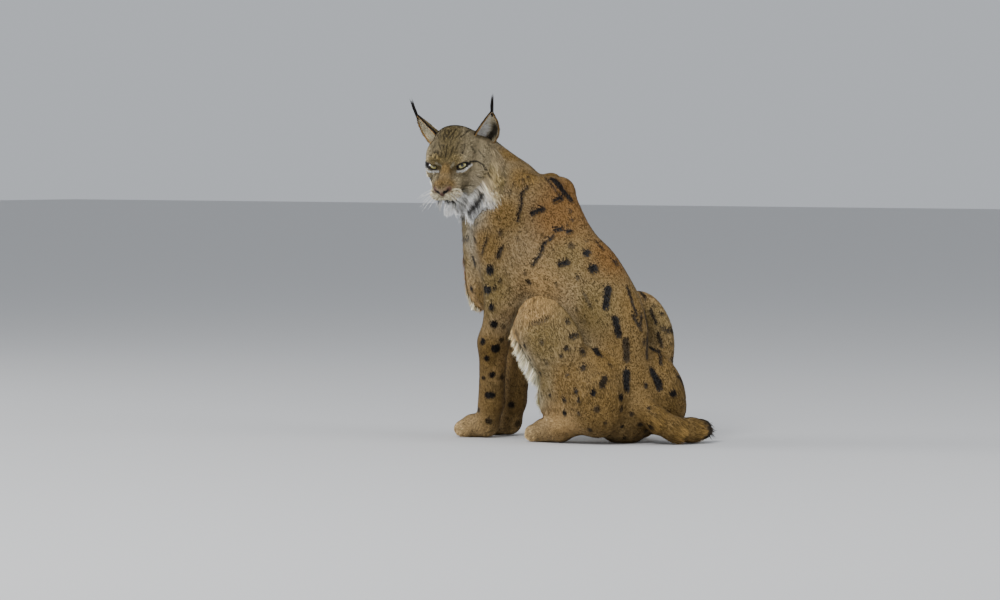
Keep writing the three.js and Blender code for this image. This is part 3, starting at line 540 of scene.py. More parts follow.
# Where the line of sight through a pixel of the picture first meets a surface.
def seen_at(pixel, surface):
    start = CAMERA_AIM + BACK * DISTANCE
    across = RIGHT * (pixel[0] - PICTURE[0] / 2) * PIXEL
    through = CAMERA_AIM + across + UP * (PICTURE[1] / 2 - pixel[1]) * PIXEL
    place = surface.ray_cast(Vector(start), Vector(through - start))[0]
    return None if place is None else np.array(place)


def filled_in(points, gap):
    out = [points[0]]
    for a, b in zip(points[:-1], points[1:]):
        steps = max(1, math.ceil(math.dist(a, b) / gap))
        out += [np.array(a) + (np.array(b) - np.array(a)) * n / steps for n in range(1, steps + 1)]
    return out


# The frame whose middle plane a mark is mirrored through.
HEAD_BACK = 95  # how far back the head's marks go
HEAD_SIZE = 150
CHEST_BACK = -190  # where the chest's marks end and the pelvis's begin


def frame_at(place):
    if skull.inward(place)[1] < HEAD_BACK and np.linalg.norm(skull.inward(place)) < HEAD_SIZE:
        return skull
    return chest if place[1] < CHEST_BACK else pelvis


# Every mark as small balls on the skin: their places, radii, strengths and colours. The far side has the
# same marks, a little moved where they are not on the head.
TWIN_MOVED = 5


def marks_on(surface, outer):
    balls = []
    for colour, radius, strength, *points in MARKS:
        moved = chance.normal(0, TWIN_MOVED, 3)
        for pixel in filled_in(points, 1.0):
            place = seen_at(pixel, outer)
            if place is None:
                continue
            base = frame_at(place)
            local = base.inward(place)
            twins = [place]
            if local[0] > (1 if base is skull else 4):
                twins.append(base.outward(local * (-1, 1, 1)) + moved * (base is not skull))
            for twin in twins:
                found = surface.find_nearest(Vector(twin))[0]
                balls.append((*found, radius * PIXEL, strength, *SHADES[colour]))
    return np.array(balls)


def tree_of(points, quads):
    return BVHTree.FromPolygons([tuple(p) for p in points], [tuple(q) for q in quads])


def snapped(points, surface):
    return np.array([surface.find_nearest(Vector(p))[0] for p in points])


# More spots where no mark of the picture reaches, spread by chance and kept apart.
SPOT_GAP = 34.0
SPOTTED = ("tawny", "buff", "rust")
SPOTS_TRIED = 1500
SPOTTED_SHARE = 0.6  # how much of the coat about a spot has to be of a spotted colour
SPOT_RADII = (3.5, 6.5)
SPOT_STRENGTHS = (0.6, 1)


def more_spots(balls, points):
    spotted = np.array([[colour in SPOTTED] for _, _, _, colour, *_ in COAT], float)
    places = list(balls[:, :3])
    extra = []
    for p in points[chance.integers(0, len(points), SPOTS_TRIED)]:
        on_head = skull.inward(p)[1] < 120 and p[2] > 480
        if on_head or mixed(p[None], COAT_PLACES, spotted)[0, 0] < SPOTTED_SHARE:
            continue
        if np.min(np.linalg.norm(np.array(places) - p, axis=1)) > SPOT_GAP:
            places.append(p)
            radius, strength = chance.uniform(*SPOT_RADII), chance.uniform(*SPOT_STRENGTHS)
            extra.append((*p, radius, strength, *SHADES["black"]))
    return np.concatenate([balls, extra])


# The colour at places on the skin: what the coat's table says, then the marks over it. A mark reaches past
# its radius, and fades over a share of the radius and a little more.
MARK_REACH = 1.6
MARK_FADE = (0.35, 0.6)


class Painter:
    def __init__(self, balls):
        self.balls = balls
        self.tree = KDTree(len(balls))
        for n, ball in enumerate(balls):
            self.tree.insert(Vector(ball[:3]), n)
        self.tree.balance()

    def __call__(self, points, colours=None):
        if colours is None:
            colours = mixed(points, COAT_PLACES, COAT_COLOURS)
        for n, p in enumerate(points):
            best, chosen = 0.0, None
            for _, which, gap in self.tree.find_n(Vector(p), 3):
                ball = self.balls[which]
                radius, strength = ball[3:5]
                ink = (MARK_REACH * radius - gap) / (MARK_FADE[0] * radius + MARK_FADE[1])
                ink = min(max(ink, 0.0), 1.0) * strength
                if ink > best:
                    best, chosen = ink, ball
            if chosen is not None:
                colours[n] += (chosen[5:8] - colours[n]) * best
        return colours


# Tufts grow from their roots to three more places, each held at its own height over the skin. Each also
# leans to the tuft that leads its neighbours, so that their tips gather in locks.
TUFT_TIMES = (0, 0.3, 0.65, 1)
TUFT_LENGTHS = (0.7, 1.15)
TUFT_LEVELS = (-0.2, 0.3)  # how far off its usual height a tuft lies, as a share of the coat's depth
WIDTHS_OF_TUFTS = (0.7, 1.2)
LEAD_SHARE = 12  # tufts for each one that leads
LOCK_TONES = 0.2  # how much lighter or darker one lock is than the next
TONE_RANGE = (0.6, 1.4)


def grow(roots, normals, sizes, lies, field=None, gather=0.45, stray=0.16):
    length, width, lift, depth = sizes.T
    count = len(roots)
    length = length * chance.uniform(*TUFT_LENGTHS, count)
    level = chance.uniform(*TUFT_LEVELS, count) * depth
    turn = chance.normal(0, stray, count)
    tangent = unit(lies - (lies * normals).sum(axis=1)[:, None] * normals)
    tangent = tangent * np.cos(turn)[:, None] + np.cross(normals, tangent) * np.sin(turn)[:, None]
    path = np.empty((count, 4, 3))
    path[:, 0] = roots - normals
    for i in range(1, 4):
        time = TUFT_TIMES[i]
        step = length * (time - TUFT_TIMES[i - 1])
        path[:, i] = path[:, i - 1] + tangent * step[:, None]
        wanted = -depth * (1 - time ** 0.8) + level * time ** 0.8 + lift * length * time ** 2
        over = field(path[:, i]) if field else ((path[:, i] - roots) * normals).sum(axis=1) - depth
        path[:, i] += normals * np.clip(wanted - over, -step, step)[:, None]
    path, tone = gathered(path, gather)
    return path, width * chance.uniform(*WIDTHS_OF_TUFTS, count), tone


def gathered(path, share):
    leads = chance.permutation(len(path))[: max(1, len(path) // LEAD_SHARE)]
    tree = KDTree(len(leads))
    for n, lead in enumerate(leads):
        tree.insert(Vector(path[lead, 0]), n)
    tree.balance()
    lead = leads[[tree.find(Vector(p))[1] for p in path[:, 0]]]
    offset = path[:, :1] - path[lead, :1]
    for i, time in enumerate(TUFT_TIMES):
        led = path[lead, i] + offset[:, 0] * (1 - 0.75 * time)
        path[:, i] += (led - path[:, i]) * share * time
    tone = chance.normal(1, LOCK_TONES, len(path))[lead]
    return path, np.clip(tone, *TONE_RANGE)


# The face: sockets, lids, lips and nose, worked into the skin where it is finest.
def least(muscles):
    return lambda p: np.min([muscle(p) for muscle in muscles], axis=0)


EYE_CORNERS = ((-13.3, -15.4, -2.6), (17.4, 2.2, 3.0))  # inner and outer, from the middle of the eyeball
SLIT_MIDDLE = (0.36, -0.84, 0.42)  # the way from the eyeball's middle to the middle of the slit
LID_THICKNESS = 2.0
SLIT_HEIGHT = 6.0  # half the height of the open eye
SLIT_END = 1.8  # the same at its corners
SLIT_STEPS = np.linspace(0, 1, 13)


# The opening between the lids, which follows the eyeball from the inner corner to the outer one.
def slit_path(s):
    inner, outer = (np.array(corner, float) for corner in EYE_CORNERS)
    middle = unit(np.array(SLIT_MIDDLE)) * (EYE_RADIUS + 1)
    bend = 2 * middle - (inner + outer) / 2
    points = []
    for t in SLIT_STEPS:
        p = (1 - t) ** 2 * inner + 2 * t * (1 - t) * bend + t * t * outer
        if 0.2 < t < 0.9:
            p = unit(p) * (EYE_RADIUS + 1)
        points.append((s * (EYE_PLACE + p[0]), p[1], p[2]))
    return points


def slit(s):
    radii = [SLIT_END + (SLIT_HEIGHT - SLIT_END) * math.sin(math.pi * t) ** 0.7 for t in SLIT_STEPS]
    return least(chain(skull, slit_path(s), radii))


MOUTH = [(0, -58, -62.5), (9, -57, -64.5), (19, -50, -67.5), (30, -34, -68.5), (39, -18, -69)]
PHILTRUM = [(0, -66, -42), (0, -62, -48), (0, -59, -58)]
MOUTH_RADII = np.linspace(3.0, 1.6, 5)
mouth_line = least([
    part for s in (1, -1) for part in chain(skull, [(s * x, y, z) for x, y, z in MOUTH], MOUTH_RADII)
])
philtrum = least(chain(skull, PHILTRUM, (1.0, 1.0, 1.0)))
nostrils = least([
    limb(skull, (s * a, -66 + c, b), (s * d, -58, e), 2.6, 1.4)
    for s in (1, -1) for a, b, c, d, e in ((7, -36, 2, 6, -33), (8, -37, 3, 13, -33))
])
nose_pad = melt(2.5, [
    mass(skull, (0, -53.5, -30), (17, 9, 8)),
    mass(skull, (0, -55.5, -38), (8, 7.5, 9)),
    *[mass(skull, (s * 12, -50.5, -33), (9, 9, 8)) for s in (1, -1)],
])
face_forms = melt(3, [
    nose_pad,
    *[part for s in (1, -1) for part in (
        mass(skull, (s * 16, -43, -49), (16, 17, 11)),  # the pad of the whiskers
        mass(skull, (s * EYE_PLACE, 0, 0), [EYE_RADIUS + LID_THICKNESS] * 3),
        mass(skull, (s * 28, -6, 20), (15, 6, 3), 10, s * 24, s * 12),  # the brow
    )],
    mass(skull, (0, -46, -75), (17, 19, 13)),  # the chin
])
sockets = [mass(skull, (s * 21, -21, -1), (8, 12, 11), 0, s * 20) for s in (1, -1)]
slits = [slit(s) for s in (1, -1)]
lid_gap = least(slits)
face_cuts = least([mouth_line, philtrum, nostrils])
face_hollows = melt(4, sockets)


def smooth_most(a, b, softness):
    blend = np.clip(0.5 + 0.5 * (a - b) / softness, 0, 1)
    return b + (a - b) * blend + softness * blend * (1 - blend)


def face_field(p):
    skin_level = skin_field(p, upper_body)
    formed = -3 * np.log(np.exp(-skin_level / 3) + np.exp(-(face_forms(p) + 0.6) / 3))
    hollowed = smooth_most(formed, -face_hollows(p), 5)
    return smooth_most(hollowed, -face_cuts(p), 0.8)


# Makes the skin twice as fine within a reach of a place in the skull's frame, and settles it on the face.
HEAD_PLACE = (0, 10, -10)
HEAD_REACH = 92.0
FACE_PLACE = (0, -20, -20)
FACE_REACH = 58.0
PAINT_REACH = 75.0  # how far from the face's middle it is painted
SETTLING_STEP = 0.3


def near_face(points):
    return np.linalg.norm(skull.inward(points) - FACE_PLACE, axis=1) < PAINT_REACH


def finer(points, quads, place, reach):
    mesh = bpy.data.meshes.new("finer")
    mesh.from_pydata([tuple(p) for p in points], [], [tuple(q) for q in quads])
    work = bmesh.new()
    work.from_mesh(mesh)
    near = np.linalg.norm(skull.inward(points) - place, axis=1) < reach
    edges = [e for e in work.edges if near[e.verts[0].index] and near[e.verts[1].index]]
    bmesh.ops.subdivide_edges(work, edges=edges, cuts=1, use_grid_fill=True)
    bmesh.ops.triangulate(work, faces=[f for f in work.faces if len(f.verts) > 4])
    work.to_mesh(mesh)
    work.free()
    points = np.array([v.co for v in mesh.vertices])
    faces = [tuple(f.vertices) for f in mesh.polygons]
    bpy.data.meshes.remove(mesh)
    near = np.linalg.norm(skull.inward(points) - place, axis=1) < reach + 6
    for _ in range(4):
        settled = points[near]
        level = face_field(settled)
        moves = np.eye(3) * SETTLING_STEP
        rises = np.stack([(face_field(settled + move) - level) / SETTLING_STEP for move in moves], axis=1)
        step = level / np.maximum((rises * rises).sum(axis=1), 0.3)
        points[near] = settled - rises * np.clip(step, -1.5, 1.5)[:, None]
    return points, faces


# Tufts as flat ribbons that taper to a point. Each row of a path is one tuft. A tuft's colour darkens to its
# root as painted shade, and some tips are paler or darker than the rest.
TUFT_WIDTHS = (0.75, 1.0, 0.7)
TUFT_FACES = ((0, 1, 3), (0, 3, 2), (2, 3, 5), (2, 5, 4), (4, 5, 6))
TUFT_ROWS = (0, 0, 1, 1, 2, 2, 3)  # the place on the path of each of a tuft's corners
# painted shade: each place along a tuft is darker toward its root, where the coat shades it, and lighter at
# the tip
PAINTED_ROOT_SHADE = np.array((0.4, 0.68, 1.0, 1.14))
SHADE_SPREAD = 0.26  # how much lighter or darker one tuft is than the next
LEAST_SHADE = 0.3
TIP_SPREAD = 0.35  # the same for its tip
TIP_RANGE = (-0.65, 0.6)
PATCH = 0.003  # a tuft's width on the unwrap


def tuft_mesh(name, path, widths, normals, colours, roots):
    count = len(path)
    steps = path[:, 1:] - path[:, :-1]
    sideways = unit(np.cross(normals[:, None], unit(steps)))
    points = np.empty((count, 7, 3))
    for i, share in enumerate(TUFT_WIDTHS):
        half = sideways[:, i] * (widths * share / 2)[:, None]
        points[:, 2 * i] = path[:, i] - half
        points[:, 2 * i + 1] = path[:, i] + half
    points[:, 6] = path[:, 3]
    faces = np.array(TUFT_FACES)[None] + 7 * np.arange(count)[:, None, None]
    piece = new_object(name, points.reshape(-1, 3), faces.reshape(-1, 3))
    shade = chance.normal(1, SHADE_SPREAD, (count, 1, 1)) * PAINTED_ROOT_SHADE[None, list(TUFT_ROWS), None]
    rise = np.array(TUFT_ROWS) / 3
    tip = np.clip(chance.normal(0, TIP_SPREAD, (count, 1, 1)), *TIP_RANGE) * rise[None, :, None] ** 2
    colour = colours[:, list(TUFT_ROWS)] * np.maximum(shade, LEAST_SHADE)
    colour = np.where(tip > 0, colour * (1 + 1.4 * tip), colour * (1 + tip))
    set_colours(piece, colour.reshape(-1, 3))
    side = np.array((0, 1, 0, 1, 0, 1, 0.5))
    patch = (np.stack([side, rise], axis=1) - 0.5)[None] * PATCH
    set_unwrap(piece, (box_unwrap(roots, normals)[:, None] + patch).reshape(-1, 2)[faces.ravel()])
    return piece


# The colours of tufts at each place along them: the coat's own colour at the root, and the marks wherever
# they are crossed.
def tuft_colours(path, base=None):
    count = len(path)
    if base is None:
        base = mixed(path[:, 0], COAT_PLACES, COAT_COLOURS)
    colours = np.empty((count, 4, 3))
    ragged = chance.normal(0, 0.8, (count, 3))
    for i in range(1, 4):
        under = snapped(path[:, i] + ragged, skin_tree)
        colours[:, i] = face_paint(under, painter(under, base.copy()))
    colours[:, 0] = colours[:, 1]
    return colours


def set_colours(piece, colours):
    layer = piece.data.attributes.new("colour", "FLOAT_COLOR", "POINT")
    full = np.ones((len(colours), 4), np.float32)
    full[:, :3] = np.clip(colours, 0.002, 0.95)
    layer.data.foreach_set("color", full.ravel())


def set_unwrap(piece, corners):
    layer = piece.data.uv_layers.new(name="OFBake")
    layer.data.foreach_set("uv", np.asarray(corners, np.float32).ravel())


# An unwrap of a piece of skin onto the six sides of a box, which lie side by side, three by two.
def box_unwrap(points, normals):
    axis = np.abs(normals).argmax(axis=1)
    side = axis * 2 + (np.take_along_axis(normals, axis[:, None], 1)[:, 0] > 0)
    low, high = points.min(axis=0), points.max(axis=0)
    share = (points - low) / np.maximum(high - low, 1)
    across = np.array([[1, 2], [0, 2], [0, 1]])[axis]
    flat = np.take_along_axis(share, across, 1)
    cell = np.stack([side % 3, side // 3], axis=1)
    return (cell + 0.02 + 0.96 * flat) / (3, 2)


# A tube of three sides that tapers to a point, for each whisker.
WHISKER_RADIUS = 0.42
WHISKER_POINT = 0.06  # its radius at the tip
THIRDS = (0, 2.094, 4.189)  # thirds of a turn


def whisker_mesh(name, paths):
    points, faces = [], []
    for path in paths:
        first = len(points)
        for n, place in enumerate(path):
            ahead = unit(path[min(n + 1, len(path) - 1)] - path[max(n - 1, 0)])
            sideways = unit(np.cross(ahead, (0.3, 0.2, 1)))
            over = np.cross(ahead, sideways)
            size = WHISKER_RADIUS * (1 - n / len(path)) + WHISKER_POINT
            for turn in THIRDS:
                points.append(place + size * (sideways * math.cos(turn) + over * math.sin(turn)))
        for n in range(len(path) - 1):
            for k in range(3):
                a, b = first + 3 * n + k, first + 3 * n + (k + 1) % 3
                faces.append((a, b, b + 3, a + 3))
    return new_object(name, points, faces)


def whisker_paths(s):
    paths = []
    for row in range(4):
        for place in range(4):
            root = np.array((s * (13 + 4.5 * place), -56 + 5 * place, -38 - 4 * row), float)
            lie = np.array((s * 0.8, -0.45 + 0.12 * place, -0.12 * row - 0.15)) + chance.normal(0, 0.08, 3)
            length = chance.uniform(34, 62)
            bend = np.array((-s * 0.15, 0.35, -0.42)) + chance.normal(0, 0.06, 3)
            times = np.linspace(0, 1, 8)[:, None]
            path = root + unit(lie) * length * times + bend * length * 0.45 * times ** 2
            paths.append(skull.outward(path))
    return paths


# The faces of a tube whose points come in rows, each a closed ring.
def tube_faces(rows, arc):
    i, j = np.meshgrid(np.arange(rows - 1), np.arange(arc), indexing="ij")
    a, b = i * arc + j, i * arc + (j + 1) % arc
    return np.stack([a, b, b + arc, a + arc], axis=-1).reshape(-1, 4)


# The ears: cups with an inner face, as long and as wide as the solids' ones.
EAR_BASE = (60, 75, 8)
EAR_TIP = {"left": (94, 80, 91), "right": (94, 80, 83)}
EAR_FACING = (0.89, 0.45, 0)
EAR_WIDTH = 36  # half of it, at the base
EAR_DEPTH = 26
EAR_BULGE = 9  # how far the outer edge bends out
EAR_DROP = 30  # how much lower than the inner edge its foot is
EAR_TUCK = 0.9  # how far it comes back to the head there
EAR_WALLS = (0.25, 0.9)  # its outer and inner face
EAR_MESH = (26, 20)  # places from base to tip and round each face


# A place on an ear: rise goes from base to tip, turn from its outer edge round the back to its inner one,
# and wall from its outside to its inside.
def ear_surface(s, tip, rise, turn, wall):
    base, tip = np.array(EAR_BASE, float), np.array(tip, float)
    up = unit(tip - base)
    across = np.array(EAR_FACING)
    across = unit(across - up * (up @ across))
    behind = np.cross(up, across)
    rise, turn = rise[..., None], turn[..., None]
    inset = wall * (3.4 - 1.8 * rise)
    width = EAR_WIDTH * (1 - rise) ** 0.85 + 2 - inset
    depth = EAR_DEPTH * (1 - rise) ** 0.9 + 2.5 - inset
    bulge = EAR_BULGE * np.sin(np.pi * held(rise) ** 0.8)
    drop = EAR_DROP * (1 - rise) ** 3
    outer = np.maximum(np.cos(turn), 0)
    tuck = 1 - EAR_TUCK * (1 - rise) ** 3 * (np.cos(turn) > 0)
    point = base + (tip - base) * rise + across * width * np.cos(turn) * tuck
    point = point + across * (bulge - drop / 3) * outer
    point = point - up * drop * outer + behind * depth * np.sin(turn)
    return skull.outward(point * (s, 1, 1))


def ear_cup(side, s):
    rows, arc = EAR_MESH
    rise, turn = np.meshgrid(np.linspace(0, 1, rows), np.linspace(0, np.pi, arc), indexing="ij")
    outer, inner = (ear_surface(s, EAR_TIP[side], rise, turn, wall) for wall in EAR_WALLS)
    inner = inner[:, ::-1]
    points = np.concatenate([outer, inner], axis=1).reshape(-1, 3)
    quads = tube_faces(rows, 2 * arc)
    cup = new_object(f"ear_cup_{side}", points, quads if s > 0 else quads[:, ::-1])
    inside = np.concatenate([np.zeros(arc), np.ones(arc)])[None].repeat(rows, axis=0)
    round_it = np.concatenate([turn, turn[:, ::-1]], axis=1)
    set_colours(cup, ear_colours(rise[:, list(range(arc)) * 2], round_it, inside, s > 0))
    return cup


# Its colours: outside dun with a black tip and edge, inside cream to white with a sandy rim. The near ear
# has painted shadow deep inside its cup.
def ear_colours(rise, turn, inside, near_ear_shaded):
    rise, turn, inside = (np.ravel(v)[:, None] for v in (rise, turn, inside))
    black, white, cream, dun = SHADES["black"], SHADES["white"], SHADES["cream"], SHADES["dun"] * 0.7
    back = dun + (cream - dun) * held(1 - np.abs(turn - 1.5)) * 0.3
    edge = held((rise - 0.72) / 0.15) + held((turn - 2.75) / 0.2) * (rise > 0.15)
    outside = back + (black - back) * held(edge)
    # painted shadow deep in the cup, kept only for the near ear
    hollow_shade = held((1.5 - turn) / 0.5) * held((0.75 - rise) / 0.2) * held((turn - 0.25) / 0.15)
    pale = cream + (white - cream) * held((turn - 1.2) / 1.0)
    rim = held((0.2 - turn) / 0.12) + held((turn - 2.95) / 0.12)
    within = pale + (black - pale) * hollow_shade * (0.95 if near_ear_shaded else 0)
    within = within + (SHADES["sand"] - within) * held(rim)
    return np.where(inside > 0.5, within, outside)


# The hair of an ear, in groups: how many, between which rises and turns it grows, whether inside, how long
# and wide it is, how far it lifts, and how far it sweeps across the cup.
EAR_HAIR = (
    (3000, (0.0, 0.97), (0.0, 3.14), 0, (8, 12), 1.0, 0.15, 0.0),
    (2200, (0.0, 0.95), (0.0, 3.14), 1, (7, 11), 1.0, 0.12, 0.1),
    (900, (0.0, 0.97), (0.0, 0.12), 1, (6, 9), 0.9, 0.3, 0.0),
    (900, (0.0, 0.97), (3.02, 3.14), 1, (6, 9), 0.9, 0.3, 0.0),
    (1200, (0.0, 0.5), (1.9, 3.1), 1, (16, 28), 1.0, 0.4, 0.7),
    (260, (-0.05, 0.3), (0.1, 1.2), 1, (12, 20), 1.0, 0.3, -0.3),
)


def ear_hair(side, s):
    tip = EAR_TIP[side]
    parts = []
    for count, rises, turns, inside, (short, long), width, lift, sweep in EAR_HAIR:
        count = fewer(count)
        rise, turn = chance.uniform(*rises, count), chance.uniform(*turns, count)
        wall = np.full(count, EAR_WALLS[inside])[:, None]
        root = ear_surface(s, tip, rise, turn, wall)
        along = ear_surface(s, tip, rise + 0.02, turn, wall) - root
        round_it = ear_surface(s, tip, rise, turn + 0.02, wall) - root
        normal = unit(np.cross(round_it, along)) * s
        inward = (normal * (ear_surface(s, tip, rise, turn, wall + 0.5) - root)).sum(axis=1) > 0
        normal[inward != bool(inside)] *= -1
        lie = unit(along) * (1 - abs(sweep)) - unit(round_it) * sweep
        length = chance.uniform(short, long, count) * (1 - 0.35 * np.clip(rise, 0, 1))
        sizes = np.stack([length, np.full(count, width), np.full(count, lift), np.full(count, 0.5)], axis=1)
        path, widths, _ = grow(root, normal, sizes, lie, gather=0.3, stray=0.22)
        colour = ear_colours(rise, turn, np.full(count, inside), s > 0)
        if abs(sweep) > 0.5:
            colour = colour + (SHADES["white"] - colour) * chance.uniform(0.2, 0.9, (count, 1))
        parts.append((path, widths, normal, colour[:, None].repeat(4, axis=1), root))
    parts.append(ear_tuft(side, s))
    return [np.concatenate(columns) for columns in zip(*parts)]


TUFT_LIE = {"left": (0.04, 0.46, 0.88), "right": (-0.32, 0.32, 0.89)}
TUFT_HAIRS = 70


def ear_tuft(side, s):
    x, y, z = EAR_TIP[side]
    roots = np.array((s * (x - 1), y, z - 5)) + chance.normal(0, 1, (TUFT_HAIRS, 3)) * (1.3, 1.3, 3.5)
    lie = unit(np.array(TUFT_LIE[side]) + chance.normal(0, 0.025, (TUFT_HAIRS, 3)))
    length = chance.uniform(24, 45, TUFT_HAIRS)[:, None]
    bend = chance.normal(0, 0.03, (TUFT_HAIRS, 3))
    path = np.stack([roots + lie * length * t + bend * length * t * t for t in TUFT_TIMES], axis=1)
    path = skull.outward(path)
    normal = unit(BACK + chance.normal(0, 0.5, (TUFT_HAIRS, 3)))
    colour = np.broadcast_to(SHADES["black"], (TUFT_HAIRS, 4, 3))
    return path, np.full(TUFT_HAIRS, 1.3), normal, colour, path[:, 0]


# An eyeball, with the angle of each place from where the eye looks.
GAZE = (0.34, -0.8, 0.42)
EYE_MESH = (60, 64)
CORNEA_RISE = 0.06
CORNEA_REACH = 0.75  # in radians


def eyeball(side, s):
    rows, arc = EYE_MESH
    turns = np.arange(arc) * 2 * np.pi / arc
    high, turn = (v.ravel() for v in np.meshgrid(np.linspace(0, np.pi, rows), turns, indexing="ij"))
    ball = np.stack([np.sin(high) * np.cos(turn), -np.cos(high), np.sin(high) * np.sin(turn)], axis=-1)
    angle = np.arccos(np.clip(ball @ unit(np.array(GAZE)), -1, 1))
    cornea = 1 + CORNEA_RISE * held(1 - (angle / CORNEA_REACH) ** 2)
    points = skull.outward(ball * EYE_RADIUS * cornea[:, None] + (s * EYE_PLACE, 0, 0))
    eye = new_object(f"eyeball_{side}", points, tube_faces(rows, arc)[:, (0, 3, 2, 1)])
    layer = eye.data.attributes.new("gaze", "FLOAT", "POINT")
    layer.data.foreach_set("value", (angle / np.pi).astype(np.float32))
    return eye


# The bare and the dark parts of the face, over the colours of the coat. The nostrils and the philtrum's
# groove are darkened as painted shade.
NOSE_FRONT = -47  # the nose is bare ahead of this


def face_paint(points, colours):
    near = near_face(points)
    p = points[near]
    paint = colours[near]

    def lay(colour, share):
        paint[:] = paint + (SHADES[colour] - paint) * held(share)[:, None]

    lay("black", (2.4 - lid_gap(p)) / 0.8)
    lay("rose", (3.2 - mouth_line(p)) / 1.2 * 0.85)
    lay("black", (1.6 - mouth_line(p)) / 0.8)
    lay("leather", np.where(skull.inward(p)[:, 1] < NOSE_FRONT, (1.4 - nose_pad(p)) / 0.8, 0))
    # painted shade in the nostrils and along the philtrum's groove
    lay("black", (0.8 - nostrils(p)) / 0.8)
    lay("black", (0.5 - philtrum(p)) / 0.8 * 0.7)
    colours[near] = paint
    return colours


# The hair is shortest beside the mouth and the eyes.
SHORT_HAIR_REACH = 13
SHORTEST_HAIR = 0.25


def lip_share(points):
    near = near_face(points)
    share = np.ones(len(points))
    edge = np.minimum(mouth_line(points[near]), lid_gap(points[near]) + 1)
    share[near] = np.clip(edge / SHORT_HAIR_REACH, SHORTEST_HAIR, 1)
    return share


# Where no hair grows.
def bare(points):
    near = near_face(points)
    p = points[near]
    out = np.zeros(len(points), bool)
    leather = (nose_pad(p) < 1.2) & (skull.inward(p)[:, 1] < NOSE_FRONT)
    out[near] = leather | (lid_gap(p) < 1.3) | (mouth_line(p) < 2.4) | (nostrils(p) < 1)
    return out


# The long hair of each side. A group has its frame, a line of places that it is rooted near, the ways it
# points and its lengths along that line, the width of a tuft, how many there are, how far from the line they
# are rooted, how much they droop, and their colours along the line.
LONG_HAIR = (
    ("beard", skull, [(26, -8, -84), (15, -24, -90), (6, -38, -92), (2, -46, -91)],
     [(0.3, -0.3, -0.9), (0.25, -0.35, -0.9), (0.15, -0.4, -0.9), (0.05, -0.42, -0.9)],
     (46, 43, 34, 20), 1.2, 2600, 5, 0.0, ("white",) * 4),
    ("chest_fringe", chest, [(4, -122, 476), (6, -123, 430), (6, -118, 380), (8, -102, 325), (10, -70, 285)],
     [(0.05, -0.26, -1)] * 5, (20, 26, 25, 19, 13), 1.2, 2200, 8, 0.05,
     ("buff", "buff", "sand", "cream", "cream")),
    ("thigh_fringe", pelvis,
     [(146, -206, 256), (138, -208, 222), (132, -204, 186), (122, -190, 150), (112, -170, 110)],
     [(-0.1, -0.75, -0.7), (-0.1, -0.75, -0.7), (-0.1, -0.7, -0.75), (-0.1, -0.6, -0.8), (-0.1, -0.4, -0.9)],
     (26, 32, 38, 42, 40), 1.4, 6000, 10, 0.06, ("sand", "cream", "cream", "cream", "cream")),
)


# The ruff: where a hair is rooted and where it ends, as pixels of the picture, from the ear to the chin.
RUFF = (
    ((493, 147), (502, 157), "ash"),
    ((494, 158), (503, 172), "ash"),
    ((492, 170), (502, 187), "dun"),
    ((485, 182), (497, 201), "oat"),
    ((475, 193), (487, 210), "white"),
    ((463, 202), (473, 220), "white"),
    ((450, 207), (457, 223), "white"),
)
RUFF_TUFTS = 9000
RUFF_WIDTH = 1.5
RUFF_PROUD = 7.0  # how far over the neck its tips stand
FAR_RUFF = ((0.4, 1, 0.6), (0, 1.1, 0), 0.7)  # the far side's lies less along the cheek and is shorter


def ruff(side, s, outer):
    count = fewer(RUFF_TUFTS)
    starts = [seen_at(root, skin_tree) for root, _, _ in RUFF]
    reaches = [seen_at(tip, outer) for _, tip, _ in RUFF]
    for n in range(len(RUFF)):
        if starts[n] is None:
            starts[n] = starts[n - 1] + (0, 0, -12)
        if reaches[n] is None:
            reaches[n] = starts[n] + (reaches[n - 1] - starts[n - 1])
    starts, reaches = skull.inward(starts), skull.inward(np.array(reaches) + BACK * RUFF_PROUD)
    lies = reaches - starts
    if s < 0:
        kept, turned, shortened = FAR_RUFF
        lies = (lies * kept + np.linalg.norm(lies, axis=1)[:, None] * turned) * shortened
    along = chance.uniform(0, 1, count)
    lie = between(lies, along) * (s, 1, 1)
    start = chance.uniform(-0.05, 0.5, count)
    place = between(starts, along) * (s, 1, 1) + lie * start[:, None]
    roots, normals = on_skin(skull.outward(place) + chance.normal(0, 3, (count, 3)))
    lengths = np.linalg.norm(lie, axis=1) * (1.15 - start) * chance.uniform(0.55, 0.9, count)
    path, widths, tone = hang(roots, normals, unit(skull.along(lie)), lengths, RUFF_WIDTH, 0.06)
    colour = tinted(path, along, [colour for *_, colour in RUFF]) * tone[:, None, None]
    colour = lipped(path, streaked(path, s, colour))
    return tuft_mesh(f"ruff_{side}", path, widths, normals, colour, roots)


# Where places fall in the picture, in pixels.
def pixels_of(places):
    sight = places - CAMERA_AIM - BACK * DISTANCE
    scale = DISTANCE / PIXEL / -(sight @ BACK)
    return np.stack([PICTURE[0] / 2 + sight @ RIGHT * scale, PICTURE[1] / 2 - sight @ UP * scale], axis=-1)


# The dark streak through the ruff and the dark edge of the lips, as lines of pixels. Both sides of the head
# have them.
STREAK = ((481.5, 195), (478, 203), (470.5, 212.5))
STREAK_RADIUS = 3.4
LIPS = ((445, 202.2), (450, 202.4), (456, 201.8), (462, 200), (467.5, 196.8))
LIPS_RADIUS = 1.6
LIPS_WIDTH = (-2, 45)  # the box about each half of the mouth that they are drawn in
LIPS_BACK = -20
LIPS_HEIGHT = (-100, -40)


def streaked(path, s, colours, stroke=STREAK, radius=STREAK_RADIUS):
    seen = pixels_of(skull.outward(skull.inward(path) * (s, 1, 1)))
    gap = np.full(path.shape[:2], 99.0)
    for a, b in zip(np.array(stroke[:-1]), np.array(stroke[1:])):
        along = np.clip((seen - a) @ (b - a) / ((b - a) @ (b - a)), 0, 1)
        gap = np.minimum(gap, np.linalg.norm(seen - a - along[..., None] * (b - a), axis=-1))
    share = np.clip(1.6 * (radius - gap) + chance.normal(0, 0.4, len(path))[:, None], 0, 1)[..., None]
    return colours + (SHADES["black"] - colours) * share


